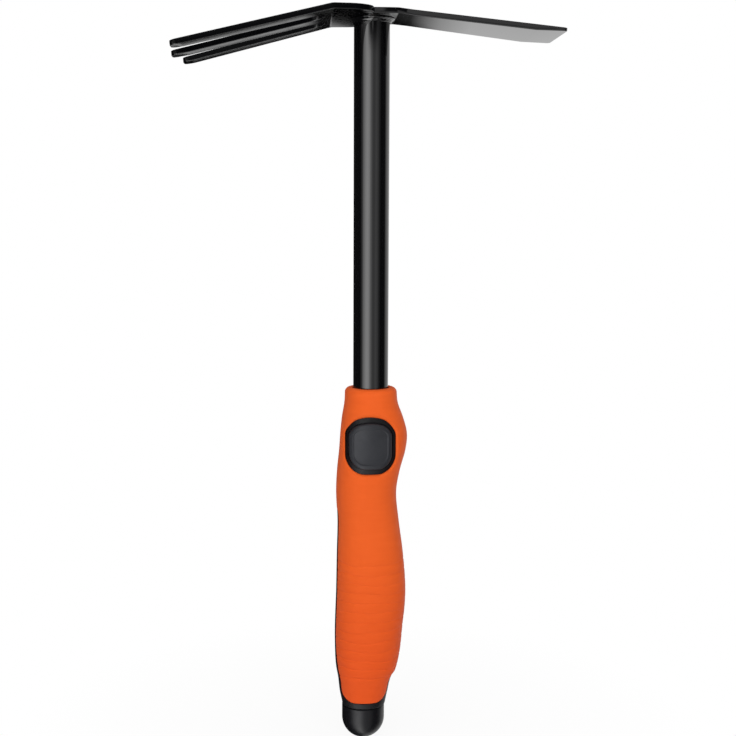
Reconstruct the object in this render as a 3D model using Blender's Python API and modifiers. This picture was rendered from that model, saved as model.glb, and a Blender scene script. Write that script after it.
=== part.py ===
"""Hand double hoe with a quick-release handle: three tines and a hoe blade stamped from one plate,
welded across a steel shaft that plugs into a two-shell soft-grip handle with a push button.

Local frame: Z runs up the shaft's axis, the button faces -Y, the blade points to +X and the tines
to -X. One empty carries everything, so that the world origin is at the end cap's lowest point.
"""

import math

import bmesh
import bpy
from mathutils import Matrix, Vector

MM = 0.001
CLEAR = 0.3 * MM

# Handle, end cap included
HANDLE_HEIGHT = 198.2 * MM
CAP_HEIGHT = 19.0 * MM
CAP_OFFSET = -3.6 * MM
CAP_RADIUS = 11.8 * MM
CAP_FOOT_RADIUS = 2.6 * MM
CAP_BORE_RADIUS = 8.6 * MM
CAP_BORE_DEPTH = 11.0 * MM
RIM_ROUND = 2.6 * MM
RIM_LIP = 1.4 * MM
GRIP_WALL = 2.0 * MM
CORE_WALL = 2.0 * MM
SECTION_POWER = 2.2
# Height, then how far the outline reaches to the left, right, front and back of the shaft's axis.
# The outline stretches along with HANDLE_HEIGHT.
HANDLE_SECTIONS = (
    (19.0, 15.3, 8.5, 11.8, 11.8),
    (27.5, 17.0, 10.3, 12.8, 12.8),
    (34.0, 17.7, 11.7, 13.7, 13.6),
    (41.5, 19.0, 15.1, 14.8, 15.0),
    (50.0, 19.5, 16.9, 15.5, 16.2),
    (63.0, 19.6, 18.2, 16.3, 17.6),
    (84.0, 18.9, 19.8, 16.8, 18.2),
    (106.0, 18.5, 18.2, 16.2, 17.6),
    (124.0, 18.1, 15.8, 15.6, 17.2),
    (140.0, 18.8, 14.3, 15.8, 17.6),
    (152.0, 18.3, 16.1, 16.5, 18.4),
    (164.0, 17.1, 19.3, 17.0, 18.8),
    (173.0, 16.5, 20.0, 16.8, 18.2),
    (182.0, 15.6, 17.7, 15.4, 16.6),
    (190.0, 14.3, 14.8, 14.2, 14.6),
    (198.2, 14.0, 14.1, 14.0, 14.0),
)

# The hard core shows at both edges, where the soft panels stop short of it
TRIM_EDGE = 1.6 * MM
TRIM_LEFT_TOP = 131.0 * MM
TRIM_RIGHT_TOP = 40.0 * MM
TRIM_BOTTOM = 22.7 * MM
TRIM_CORNER = 5.5 * MM
STRIP_INSET = 0.1 * MM

# Push button and its window
BUTTON_X = -0.6 * MM
BUTTON_BELOW_RIM = 30.1 * MM
BUTTON_WIDTH = 23.4 * MM
BUTTON_HEIGHT = 24.8 * MM
BUTTON_FACE = 17.9 * MM
BUTTON_CROWN_RADIUS = 19.0 * MM
BUTTON_TOP_CURVE = 19.0 * MM
BUTTON_TOP_CORNER = 5.5 * MM
BUTTON_BOTTOM_CORNER = 8.5 * MM
BUTTON_BEVEL_DROP = 1.2 * MM
BUTTON_BORDER = 2.6 * MM
BUTTON_DISH = 0.6 * MM
BUTTON_THICKNESS = 4.6 * MM
BUTTON_TRAVEL = 2.6 * MM
BUTTON_GAP = 0.4 * MM
LIP_WIDTH = 5.0 * MM
LIP_REACH = 1.8 * MM
LIP_THICKNESS = 1.0 * MM
STEM_THICKNESS = 2.4 * MM
STEM_INSET = 1.0 * MM
WINDOW_MARGIN = 1.9 * MM
WINDOW_RISE = 1.2 * MM
GRIP_WINDOW_BACK = 2.0 * MM
CORE_WINDOW_BACK = 4.2 * MM
COLLAR_INSET = 1.3 * MM

# Shaft and the square spigot that plugs into the handle
SHAFT_DIAMETER = 19.0 * MM
SHAFT_WALL = 1.5 * MM
SHAFT_INSERT = 13.4 * MM
EXPOSED_SHAFT = 195.4 * MM
SPIGOT_SIDE = 13.0 * MM
SPIGOT_CORNER = 1.8 * MM
SPIGOT_LENGTH = 57.0 * MM
SPIGOT_SHANK = 17.0 * MM
SPIGOT_FLANGE = 1.2 * MM
SPIGOT_NOSE = 2.5 * MM
SPIGOT_NOSE_CHAMFER = 1.4 * MM
NOTCH_HEIGHT = 6.0 * MM
NOTCH_WIDTH = 6.0 * MM
NOTCH_DEPTH = 2.2 * MM
RIVET_RADIUS = 2.0 * MM

# Latch leaf and the yoke that pushes it off
YOKE_THICKNESS = 2.6 * MM
YOKE_HALF_WIDTH = 9.3 * MM
YOKE_BAR = 1.6 * MM
YOKE_REAR_CORNER = 3.0 * MM
YOKE_INNER_CORNER = 1.2 * MM
YOKE_SIDE_GAP = 0.5 * MM
LEAF_THICKNESS = 0.6 * MM
LEAF_WIDTH = 8.0 * MM
LEAF_ABOVE_BUTTON = 6.9 * MM
LEAF_ROOT = 6.5 * MM
LEAF_FOOT_REACH = 4.0 * MM
TOOTH_WIDTH = 5.0 * MM
TOOTH_REACH = 4.0 * MM
TOOTH_HEIGHT = 3.4 * MM
TOOTH_LEAD = 1.2 * MM
TOOTH_ABOVE_YOKE = 0.8 * MM

# Core's hollows
BAY_BELOW_BUTTON = 18.1 * MM
BAY_ABOVE_BUTTON = 14.9 * MM
LOWER_HOLLOW_BOTTOM = 34.0 * MM
SOCKET_FLOOR_WALL = 4.0 * MM
RIB_COUNT = 2
RIB_THICKNESS = 2.0 * MM
STUB_ROOT = 4.0 * MM

# Case screws: one beside the socket, and one in the middle of each lower hollow
SCREW_BESIDE_SOCKET = 3.0 * MM
SCREW_BELOW_BAY = 3.0 * MM
SCREW_RADIUS = 1.5 * MM
SCREW_HEAD_RADIUS = 2.8 * MM
SCREW_HEAD_HEIGHT = 2.0 * MM
SCREW_LENGTH = 18.0 * MM
SCREW_SINK = 4.6 * MM
SCREW_SOCKET_RADIUS = 1.2 * MM
SCREW_SOCKET_DEPTH = 1.1 * MM
BOSS_WALL = 1.4 * MM

# Head: one stamped plate, bent down on both sides of the shaft
PLATE_THICKNESS = 3.0 * MM
HUB_HALF_WIDTH = 20.0 * MM
TINE_WIDTH = 12.4 * MM
TINE_ROOT_OFFSET = 27.5 * MM
TINE_TIP_OFFSET = 35.6 * MM
OUTER_TINE_REACH = 104.3 * MM
MIDDLE_TINE_REACH = 107.2 * MM
GULLET_X = 25.0 * MM
SHOULDER_LENGTH = 15.0 * MM
TINE_TIP_ROUND = 3.6 * MM
TINE_TIP_BEVEL = 6.0 * MM
TINE_TIP_THICKNESS = 2.6 * MM
TINE_DROOP = math.radians(14.1)
TINE_BEND_X = -20.0 * MM
BLADE_REACH = 99.5 * MM
BLADE_ROOT_HALF_WIDTH = 19.0 * MM
BLADE_HALF_WIDTH = 24.0 * MM
BLADE_CORNER = 2.4 * MM
BLADE_DROOP = math.radians(6.5)
BLADE_BEND_X = 12.0 * MM
BLADE_EDGE = 1.7 * MM
BLADE_GRIND = 16.0 * MM
BEND_RADIUS = 8.0 * MM
BEND_FACETS = 3
WELD_SIZE = 2.2 * MM
WELD_HOLLOW = 0.75

RING_POINTS = 28
RING_STEP = 7.5 * MM
TRIM_STEP = 12.0 * MM
FAR = 60.0 * MM
PAST = 1.0 * MM

# Worked out from the sizes above
SHAFT_RADIUS = SHAFT_DIAMETER / 2
SHAFT_BORE = SHAFT_RADIUS - SHAFT_WALL
SHAFT_LOW = HANDLE_HEIGHT - SHAFT_INSERT
PLATE_LOW = HANDLE_HEIGHT + EXPOSED_SHAFT
CORE_INSET = GRIP_WALL + CLEAR
CORE_TOP = HANDLE_HEIGHT - RIM_LIP - CLEAR
HOLLOW_INSET = CORE_INSET + CORE_WALL
BUTTON_Z = HANDLE_HEIGHT - BUTTON_BELOW_RIM
BUTTON_AXIS_Y = BUTTON_CROWN_RADIUS - BUTTON_FACE
BUTTON_BACK_RADIUS = BUTTON_CROWN_RADIUS - BUTTON_THICKNESS
BAY_BOTTOM = BUTTON_Z - BAY_BELOW_BUTTON
BAY_TOP = BUTTON_Z + BAY_ABOVE_BUTTON
SPIGOT_HALF = SPIGOT_SIDE / 2
SPIGOT_LOW = SHAFT_LOW - SPIGOT_LENGTH
SOCKET_FLOOR = SPIGOT_LOW - CLEAR
SOCKET_HALF = SPIGOT_HALF + CLEAR
LOWER_HOLLOW_TOP = SOCKET_FLOOR - SOCKET_FLOOR_WALL
LOWER_HOLLOW_PITCH = (LOWER_HOLLOW_TOP + RIB_THICKNESS - LOWER_HOLLOW_BOTTOM) / (RIB_COUNT + 1)
LEAF_FRONT = SPIGOT_HALF + YOKE_SIDE_GAP + YOKE_BAR + CLEAR
LEAF_FOOT = BAY_BOTTOM - LEAF_ROOT
YOKE_TOP = BUTTON_Z
TOOTH_LOW = YOKE_TOP + TOOTH_ABOVE_YOKE
BOSS_RADIUS = SCREW_HEAD_RADIUS + CLEAR + BOSS_WALL


def start_scene():
    """Clear the scene and make the two collections and the empty that carries every object."""
    for old in list(bpy.data.objects):
        bpy.data.objects.remove(old, do_unlink=True)
    collections = []
    for name in ("double_hoe", "cutters"):
        collection = bpy.data.collections.new(name)
        bpy.context.scene.collection.children.link(collection)
        collections.append(collection)
    carrier = bpy.data.objects.new("shaft_axis", None)
    carrier.location = (-CAP_OFFSET, 0, 0)
    collections[0].objects.link(carrier)
    return collections[0], collections[1], carrier


PARTS, CUTTERS, CARRIER = start_scene()


def material(name, colour, roughness, metallic=0.0):
    """A plain Principled material."""
    made = bpy.data.materials.new(name)
    made.use_nodes = True
    shader = made.node_tree.nodes["Principled BSDF"]
    shader.inputs["Base Color"].default_value = (*colour, 1.0)
    shader.inputs["Roughness"].default_value = roughness
    shader.inputs["Metallic"].default_value = metallic
    return made


BLACK_COAT = material("black_powder_coat", (0.012, 0.012, 0.014), 0.28)
ORANGE_RUBBER = material("orange_soft_grip", (0.80, 0.11, 0.02), 0.55)
BLACK_NYLON = material("black_nylon", (0.02, 0.02, 0.023), 0.45)
GREY_PLASTIC = material("dark_grey_plastic", (0.035, 0.036, 0.042), 0.35)
SPRING_STEEL = material("spring_steel", (0.55, 0.55, 0.56), 0.3, 1.0)
ZINC = material("zinc_plate", (0.62, 0.62, 0.64), 0.35, 1.0)


def add_object(name, mesh, finish=None):
    """Link a mesh as a finished part, or as a hidden cutter where it has no finish."""
    obj = bpy.data.objects.new(name, mesh)
    obj.parent = CARRIER
    if finish is None:
        CUTTERS.objects.link(obj)
        obj.hide_render = True
        obj.display_type = "WIRE"
        return obj
    PARTS.objects.link(obj)
    mesh.materials.append(finish)
    mesh.shade_smooth()
    mesh.set_sharp_from_angle(angle=math.radians(35))
    return obj


def boolean(obj, other, operation="DIFFERENCE", solver="EXACT"):
    """Cut, keep or join with another object."""
    modifier = obj.modifiers.new(f"{operation.lower()}_{other.name}", "BOOLEAN")
    modifier.operation = operation
    modifier.solver = solver
    modifier.object = other
    return obj


def box(name, low, high):
    """A cutter box between two corners."""
    shape = bmesh.new()
    bmesh.ops.create_cube(shape, size=1.0)
    size = [b - a for a, b in zip(low, high)]
    middle = [(a + b) / 2 for a, b in zip(low, high)]
    bmesh.ops.transform(
        shape, matrix=Matrix.Translation(middle) @ Matrix.Diagonal((*size, 1)), verts=shape.verts
    )
    mesh = bpy.data.meshes.new(name)
    shape.to_mesh(mesh)
    shape.free()
    return add_object(name, mesh)


def cylinder(name, radius, start, end, finish=None, segments=32, end_radius=None):
    """A round bar or a cone from one point to another."""
    start, end = Vector(start), Vector(end)
    shape = bmesh.new()
    bmesh.ops.create_cone(
        shape,
        cap_ends=True,
        segments=segments,
        radius1=radius,
        radius2=radius if end_radius is None else end_radius,
        depth=(end - start).length,
    )
    turn = (end - start).to_track_quat("Z", "Y").to_matrix().to_4x4()
    bmesh.ops.transform(shape, matrix=Matrix.Translation((start + end) / 2) @ turn, verts=shape.verts)
    mesh = bpy.data.meshes.new(name)
    shape.to_mesh(mesh)
    shape.free()
    return add_object(name, mesh, finish)


def turned(name, profile, finish=None, steps=48, centre_x=0.0):
    """A profile of radius and height, run down its outer side, turned about a line along Z."""
    closed = profile[0][0] > 0 and profile[-1][0] > 0
    mesh = bpy.data.meshes.new(name)
    edges = [(i, i + 1) for i in range(len(profile) - 1)]
    if closed:
        edges.append((len(profile) - 1, 0))
    mesh.from_pydata([(r, 0, z) for r, z in profile], edges, [])
    obj = add_object(name, mesh, finish)
    obj.location.x = centre_x
    screw = obj.modifiers.new("turn", "SCREW")
    screw.steps = screw.render_steps = steps
    screw.use_merge_vertices = True
    screw.merge_threshold = 0.01 * MM
    screw.use_smooth_shade = finish is not None
    return obj


def outline_mesh(name, loops, thickness):
    """A flat outline in X and Y as a curve, filled and extruded about Z = 0, then made a welded mesh."""
    curve = bpy.data.curves.new(name, "CURVE")
    curve.dimensions = "2D"
    curve.fill_mode = "BOTH"
    curve.extrude = thickness / 2
    for loop in loops:
        spline = curve.splines.new("POLY")
        spline.points.add(len(loop) - 1)
        for point, (x, y) in zip(spline.points, loop):
            point.co = (x, y, 0, 1)
        spline.use_cyclic_u = True
    guide = bpy.data.objects.new(name, curve)
    CUTTERS.objects.link(guide)
    bpy.context.view_layer.update()
    mesh = bpy.data.meshes.new_from_object(guide.evaluated_get(bpy.context.evaluated_depsgraph_get()))
    bpy.data.objects.remove(guide, do_unlink=True)
    shape = bmesh.new()
    shape.from_mesh(mesh)
    bmesh.ops.remove_doubles(shape, verts=shape.verts, dist=0.001 * MM)
    bmesh.ops.recalc_face_normals(shape, faces=shape.faces)
    shape.to_mesh(mesh)
    shape.free()
    return mesh


# Turns an outline's X and Y into the tool's X and Z, or its Y and Z, and its thickness across them
STAND_XZ = Matrix.Rotation(math.radians(90), 4, "X")
STAND_YZ = Matrix(((0, 0, 1, 0), (1, 0, 0, 0), (0, 1, 0, 0), (0, 0, 0, 1)))


def standing(name, loop, low, high, stand, finish=None):
    """An outline stood upright and extruded across itself from low to high."""
    mesh = outline_mesh(name, [loop], high - low)
    middle = (low + high) / 2
    across = Vector((0, middle, 0)) if stand is STAND_XZ else Vector((middle, 0, 0))
    mesh.transform(Matrix.Translation(across) @ stand)
    return add_object(name, mesh, finish)


def arc(centre, radius, start, end, points):
    """Points on an arc, its angles in degrees."""
    angles = [math.radians(start + (end - start) * i / points) for i in range(points + 1)]
    return [(centre[0] + radius * math.cos(a), centre[1] + radius * math.sin(a)) for a in angles]


def rounded_rectangle(left, right, low, high, radii, points=5):
    """A rectangle with its own corner radius at right top, left top, left bottom and right bottom."""
    one, two, three, four = radii
    return (
        arc((right - one, high - one), one, 0, 90, points)
        + arc((left + two, high - two), two, 90, 180, points)
        + arc((left + three, low + three), three, 180, 270, points)
        + arc((right - four, low + four), four, 270, 360, points)
    )


def handle_reach(height):
    """How far the handle reaches left, right, front and back at a height, on a smooth curve."""
    rows = HANDLE_SECTIONS
    height_mm = min(max(height / HANDLE_HEIGHT * rows[-1][0], rows[0][0]), rows[-1][0])
    i = max(k for k in range(len(rows) - 1) if rows[k][0] <= height_mm)
    before, low, high, after = (rows[min(max(k, 0), len(rows) - 1)] for k in range(i - 1, i + 3))
    span = high[0] - low[0]
    t = (height_mm - low[0]) / span
    reach = []
    for side in range(1, 5):
        out = (high[side] - before[side]) / (high[0] - before[0]) * span
        into = (after[side] - low[side]) / (after[0] - low[0]) * span
        value = (
            (2 * t**3 - 3 * t**2 + 1) * low[side]
            + (t**3 - 2 * t**2 + t) * out
            + (3 * t**2 - 2 * t**3) * high[side]
            + (t**3 - t**2) * into
        )
        reach.append(value * MM)
    return reach


def section_point(height, degrees, inset):
    """A point on the handle's section at a height, inset evenly from its outside."""
    left, right, front, back = handle_reach(height)
    half_x, half_y = (left + right) / 2 - inset, (front + back) / 2 - inset
    c, s = math.cos(math.radians(degrees)), math.sin(math.radians(degrees))
    return Vector(
        (
            (right - left) / 2 + half_x * math.copysign(abs(c) ** (2 / SECTION_POWER), c),
            (back - front) / 2 + half_y * math.copysign(abs(s) ** (2 / SECTION_POWER), s),
            height,
        )
    )


def levels(low, high, rim=0.0):
    """Heights of a loft's rings, on one grid for every form, with the inset that rounds the rim over."""
    top = high - rim
    first, last = math.ceil(low / RING_STEP + 0.3), math.floor(top / RING_STEP - 0.3)
    heights = [low] + [i * RING_STEP for i in range(first, last + 1)] + [top]
    rings = [(height, 0.0) for height in heights]
    if rim:
        for turn in (30, 60, 90):
            a = math.radians(turn)
            rings.append((top + rim * math.sin(a), rim * (1 - math.cos(a))))
    return rings


def loft(name, rings, finish=None):
    """A closed solid through rings of points, all alike in number, from the lowest up."""
    shape = bmesh.new()
    rows = [[shape.verts.new(point) for point in ring] for ring in rings]
    for lower, upper in zip(rows, rows[1:]):
        for i in range(len(lower)):
            j = (i + 1) % len(lower)
            shape.faces.new((lower[i], lower[j], upper[j], upper[i]))
    shape.faces.new(rows[0][::-1])
    shape.faces.new(rows[-1])
    bmesh.ops.recalc_face_normals(shape, faces=shape.faces)
    mesh = bpy.data.meshes.new(name)
    shape.to_mesh(mesh)
    shape.free()
    return add_object(name, mesh, finish)


def full_form(name, inset, low, high, finish=None, rim=0.0):
    """The handle's whole section between two heights, inset evenly from its outside."""
    angles = [360 * i / RING_POINTS for i in range(RING_POINTS)]
    rings = []
    for height, more in levels(low, high, rim):
        rings.append([section_point(height, angle, inset + more) for angle in angles])
    return loft(name, rings, finish)


def keep_half(obj, side):
    """Keep what lies in front of (side -1) or behind (side 1) the shells' parting plane."""
    ends = sorted((side * CLEAR / 2, side * FAR))
    half = box(f"half_of_{obj.name}", (-FAR, ends[0], -FAR), (FAR, ends[1], HANDLE_HEIGHT + FAR))
    return boolean(obj, half, "INTERSECT", "MANIFOLD")


def trim_edge(side, height, inset):
    """Where the trim line runs in X at a height, on the left (side -1) or the right (side 1)."""
    left, right, _, _ = handle_reach(height)
    return side * ((left if side < 0 else right) - TRIM_EDGE + inset)


def trim_side(side, top, inset):
    """One side of the trim line, from its rounded end above to the end of its bottom corner."""
    low = TRIM_BOTTOM + TRIM_CORNER
    start = top - TRIM_EDGE
    steps = max(2, round((start - low) / TRIM_STEP))
    heights = [start + (low - start) * i / steps for i in range(steps + 1)]
    line = [(side * FAR, top - inset), (trim_edge(side, top, inset) + side * TRIM_EDGE / 2, top - inset)]
    line += [(trim_edge(side, height, inset), height) for height in heights]
    for turn in (30, 60, 90):
        a = math.radians(turn)
        across = trim_edge(side, low, inset) - side * TRIM_CORNER * (1 - math.cos(a))
        line.append((across, low - (TRIM_CORNER + inset) * math.sin(a)))
    return line


def trim_loop(inset):
    """The region in X and Z where the core shows: both edges, and all of the foot."""
    left = trim_side(-1, TRIM_LEFT_TOP, inset)
    right = trim_side(1, TRIM_RIGHT_TOP, inset)
    return left + right[::-1] + [(FAR, 0), (-FAR, 0)]


def button_loop(grow, rise=0.0):
    """The button's outline in X and Z, grown evenly and then taller by rise at both ends.

    Its corners are fuller below, and its top edge is curved over the middle.
    """
    half_width, half_height = BUTTON_WIDTH / 2 + grow, BUTTON_HEIGHT / 2 + grow + rise
    top, bottom = BUTTON_TOP_CORNER + grow, BUTTON_BOTTOM_CORNER + grow
    flat = half_width - top
    loop = arc((half_width - top, half_height - top), top, 0, 90, 5)
    loop += [(flat * share, half_height) for share in (0.5, 0, -0.5)]
    loop += arc((top - half_width, half_height - top), top, 90, 180, 5)
    loop += arc((bottom - half_width, bottom - half_height), bottom, 180, 270, 6)
    loop += arc((half_width - bottom, bottom - half_height), bottom, 270, 360, 6)
    curved = []
    for x, z in loop:
        sag = max(z, 0) / half_height * x**2 / (2 * BUTTON_TOP_CURVE)
        curved.append((BUTTON_X + x, BUTTON_Z + z - sag))
    return curved


def make_hollows():
    """Cutters for the core: button bay, neck bore, square socket, leaf's slot and lower hollows."""
    hollows = [
        full_form("button_bay", HOLLOW_INSET, BAY_BOTTOM, BAY_TOP),
        cylinder(
            "neck_bore", SHAFT_RADIUS + CLEAR, (0, 0, BAY_TOP - PAST), (0, 0, HANDLE_HEIGHT + PAST),
            segments=48,
        ),
        box(
            "square_socket",
            (-SOCKET_HALF, -SOCKET_HALF, SOCKET_FLOOR),
            (SOCKET_HALF, SOCKET_HALF, BAY_BOTTOM + PAST),
        ),
        standing(
            "leaf_slot", leaf_outline(CLEAR, BAY_BOTTOM + PAST), -LEAF_WIDTH / 2 - CLEAR,
            LEAF_WIDTH / 2 + CLEAR, STAND_YZ,
        ),
    ]
    for number in range(RIB_COUNT + 1):
        low = LOWER_HOLLOW_BOTTOM + LOWER_HOLLOW_PITCH * number
        high = low + LOWER_HOLLOW_PITCH - RIB_THICKNESS
        hollows.append(full_form(f"lower_hollow_{number + 1}", HOLLOW_INSET, low, high))
    return hollows


def screw_places():
    """Each case screw's place in X and Z, from the top down."""
    places = [(-SOCKET_HALF - SCREW_BESIDE_SOCKET, BAY_BOTTOM - SCREW_BELOW_BAY)]
    for number in reversed(range(RIB_COUNT + 1)):
        height = LOWER_HOLLOW_BOTTOM + LOWER_HOLLOW_PITCH * (number + 0.5) - RIB_THICKNESS / 2
        left, right, _, _ = handle_reach(height)
        places.append(((right - left) / 2, height))
    return places


def make_bosses():
    """Screw bosses from wall to wall across the lower hollows, kept inside the core."""
    inside = full_form("boss_bounds", CORE_INSET + CLEAR, LOWER_HOLLOW_BOTTOM - RING_STEP, BAY_BOTTOM)
    bosses = []
    for number, (x, z) in enumerate(screw_places()[1:], start=1):
        boss = cylinder(f"boss_{number}", BOSS_RADIUS, (x, -FAR, z), (x, FAR, z), segments=24)
        bosses.append(boolean(boss, inside, "INTERSECT"))
    return bosses


def make_core(window):
    """The hard core's two shells: foot and edge strips flush with the grip, collar, stub and hollows."""
    strips = full_form("edge_strips", STRIP_INSET, CAP_HEIGHT + CLEAR, TRIM_LEFT_TOP + RING_STEP)
    boolean(strips, standing("core_trim", trim_loop(CLEAR), -FAR, FAR, STAND_XZ), "INTERSECT")
    stub_low = CAP_HEIGHT - CAP_BORE_DEPTH + CLEAR
    stub = cylinder(
        "stub", CAP_BORE_RADIUS - CLEAR, (CAP_OFFSET, 0, stub_low), (CAP_OFFSET, 0, CAP_HEIGHT + STUB_ROOT)
    )
    collar = full_form("window_collar", COLLAR_INSET, BAY_BOTTOM - RING_STEP, BAY_TOP + RING_STEP)
    ring = standing(
        "collar_ring", button_loop(WINDOW_MARGIN - CLEAR, WINDOW_RISE), -FAR, -GRIP_WINDOW_BACK - CLEAR,
        STAND_XZ,
    )
    boolean(collar, ring, "INTERSECT", "MANIFOLD")
    hollows = make_hollows()
    bosses = make_bosses()
    shells = []
    for side, name in ((-1, "core_front"), (1, "core_rear")):
        shell = full_form(name, CORE_INSET, CAP_HEIGHT + STUB_ROOT / 2, CORE_TOP, BLACK_NYLON)
        for piece in (strips, stub, collar):
            boolean(shell, piece, "UNION")
        for hollow in hollows:
            boolean(shell, hollow)
        for boss in bosses:
            boolean(shell, boss, "UNION")
        shells.append(keep_half(shell, side))
    boolean(shells[0], window)
    return shells


def make_grip(window):
    """The soft panels over the front and rear shells, turned in over the core at the rim."""
    trim = standing("grip_trim", trim_loop(0), -FAR, FAR, STAND_XZ)
    hollow = full_form("grip_hollow", GRIP_WALL, CAP_HEIGHT, HANDLE_HEIGHT - RIM_LIP)
    bore = cylinder(
        "rim_bore", SHAFT_RADIUS + CLEAR, (0, 0, CORE_TOP - RING_STEP), (0, 0, HANDLE_HEIGHT + RING_STEP),
        segments=48,
    )
    panels = []
    for side, name in ((-1, "grip_front"), (1, "grip_rear")):
        panel = full_form(name, 0, CAP_HEIGHT + CLEAR, HANDLE_HEIGHT, ORANGE_RUBBER, RIM_ROUND)
        for cutter in (hollow, bore, trim):
            boolean(panel, cutter, solver="MANIFOLD")
        panels.append(keep_half(panel, side))
    boolean(panels[0], window, solver="MANIFOLD")
    return panels


def make_cap():
    """The domed end cap, with the bore that takes the core's stub and a small flat to stand on."""
    floor = CAP_HEIGHT - CAP_BORE_DEPTH
    start = math.acos(CAP_FOOT_RADIUS / CAP_RADIUS)
    sink = CAP_RADIUS * math.sin(start)
    profile = [(0, floor), (CAP_BORE_RADIUS, floor), (CAP_BORE_RADIUS, CAP_HEIGHT), (CAP_RADIUS, CAP_HEIGHT)]
    for i in range(10):
        a = start * i / 9
        profile.append((CAP_RADIUS * math.cos(a), sink - CAP_RADIUS * math.sin(a)))
    profile.append((0, 0))
    return turned("end_cap", profile, GREY_PLASTIC, steps=40, centre_x=CAP_OFFSET)


def button_ring(grow, radius, scale=1.0):
    """The button's outline, laid on the crown of that radius and drawn in towards its middle by scale."""
    ring = []
    for x, z in button_loop(grow):
        x, z = BUTTON_X + (x - BUTTON_X) * scale, BUTTON_Z + (z - BUTTON_Z) * scale
        ring.append(Vector((x, BUTTON_AXIS_Y - math.sqrt(radius**2 - (x - BUTTON_X) ** 2), z)))
    return ring


def make_button():
    """The crowned push button: bevelled border, dished face, and lips that keep it behind the core."""
    crown, back = BUTTON_CROWN_RADIUS, BUTTON_BACK_RADIUS
    rings = [button_ring(0, back, scale) for scale in (0.04, 0.35, 0.7, 1)]
    border = ((0, 1), (0.3, 0.5), (0.65, 0.12), (1, 0))
    rings += [button_ring(-BUTTON_BORDER * into, crown - BUTTON_BEVEL_DROP * drop) for into, drop in border]
    dish = ((0.8, 0.45), (0.55, 0.75), (0.3, 0.93), (0.04, 1))
    rings += [button_ring(-BUTTON_BORDER, crown - BUTTON_DISH * depth, scale) for scale, depth in dish]
    button = loft("release_button", rings, GREY_PLASTIC)
    for name, sign in (("upper", 1), ("lower", -1)):
        edge = BUTTON_Z + sign * BUTTON_HEIGHT / 2
        tip, heel = edge + sign * LIP_REACH, edge - sign * (STEM_INSET + STEM_THICKNESS)
        front = -skin(BUTTON_X - LIP_WIDTH / 2, tip, -1) - HOLLOW_INSET - CLEAR
        stem_ends = sorted((edge - sign * STEM_INSET, heel))
        lip_ends = sorted((heel - sign * STEM_INSET, tip))
        stem_half, lip_half = LIP_WIDTH / 2 - STEM_INSET, LIP_WIDTH / 2
        stem = box(
            f"{name}_stem",
            (BUTTON_X - stem_half, BUTTON_THICKNESS / 2 - BUTTON_FACE, stem_ends[0]),
            (BUTTON_X + stem_half, LIP_THICKNESS / 2 - front, stem_ends[1]),
        )
        lip = box(
            f"{name}_lip",
            (BUTTON_X - lip_half, -front, lip_ends[0]),
            (BUTTON_X + lip_half, LIP_THICKNESS - front, lip_ends[1]),
        )
        for piece in (stem, lip):
            boolean(button, piece, "UNION", "MANIFOLD")
    return button


def make_yoke():
    """The frame that rides behind the button, round the spigot, and pushes the leaf off the notch."""
    front_radius = BUTTON_BACK_RADIUS - CLEAR
    rear = LEAF_FRONT - CLEAR
    right = math.degrees(math.acos((YOKE_HALF_WIDTH - BUTTON_X) / front_radius))
    left = math.degrees(math.acos((YOKE_HALF_WIDTH + BUTTON_X) / front_radius))
    corner = YOKE_REAR_CORNER
    side = YOKE_HALF_WIDTH - corner
    outer = (
        arc((side, rear - corner), corner, 0, 90, 4)
        + arc((-side, rear - corner), corner, 90, 180, 4)
        + arc((BUTTON_X, BUTTON_AXIS_Y), front_radius, 180 + left, 360 - right, 10)
    )
    inner_half = SPIGOT_HALF + YOKE_SIDE_GAP
    inner_front = -(SPIGOT_HALF + CLEAR + BUTTON_TRAVEL)
    corners = [YOKE_INNER_CORNER] * 4
    inner = rounded_rectangle(-inner_half, inner_half, inner_front, rear - YOKE_BAR, corners, 3)
    mesh = outline_mesh("release_yoke", [outer, inner], YOKE_THICKNESS)
    mesh.transform(Matrix.Translation((0, 0, YOKE_TOP - YOKE_THICKNESS / 2)))
    return add_object("release_yoke", mesh, BLACK_NYLON)


def leaf_outline(grow, top):
    """The bent leaf's outline in Y and Z, or its slot's with room all round it."""
    front, back = LEAF_FRONT - grow, LEAF_FRONT + LEAF_THICKNESS + grow
    low, high = LEAF_FOOT - grow, LEAF_FOOT + LEAF_THICKNESS + grow
    reach = LEAF_FRONT + LEAF_FOOT_REACH + grow
    return [(front, low), (reach, low), (reach, high), (back, high), (back, top), (front, top)]


def make_leaf():
    """The spring leaf: foot bent back into the rear shell, tooth in the spigot's notch."""
    outline = leaf_outline(0, BUTTON_Z + LEAF_ABOVE_BUTTON)
    leaf = standing("latch_leaf", outline, -LEAF_WIDTH / 2, LEAF_WIDTH / 2, STAND_YZ, SPRING_STEEL)
    root, tip = LEAF_FRONT + LEAF_THICKNESS / 2, LEAF_FRONT - TOOTH_REACH
    tooth = [
        (root, TOOTH_LOW),
        (root, TOOTH_LOW + TOOTH_HEIGHT + TOOTH_LEAD),
        (tip, TOOTH_LOW + TOOTH_LEAD),
        (tip, TOOTH_LOW),
    ]
    return boolean(leaf, standing("tooth", tooth, -TOOTH_WIDTH / 2, TOOTH_WIDTH / 2, STAND_YZ), "UNION")


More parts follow.
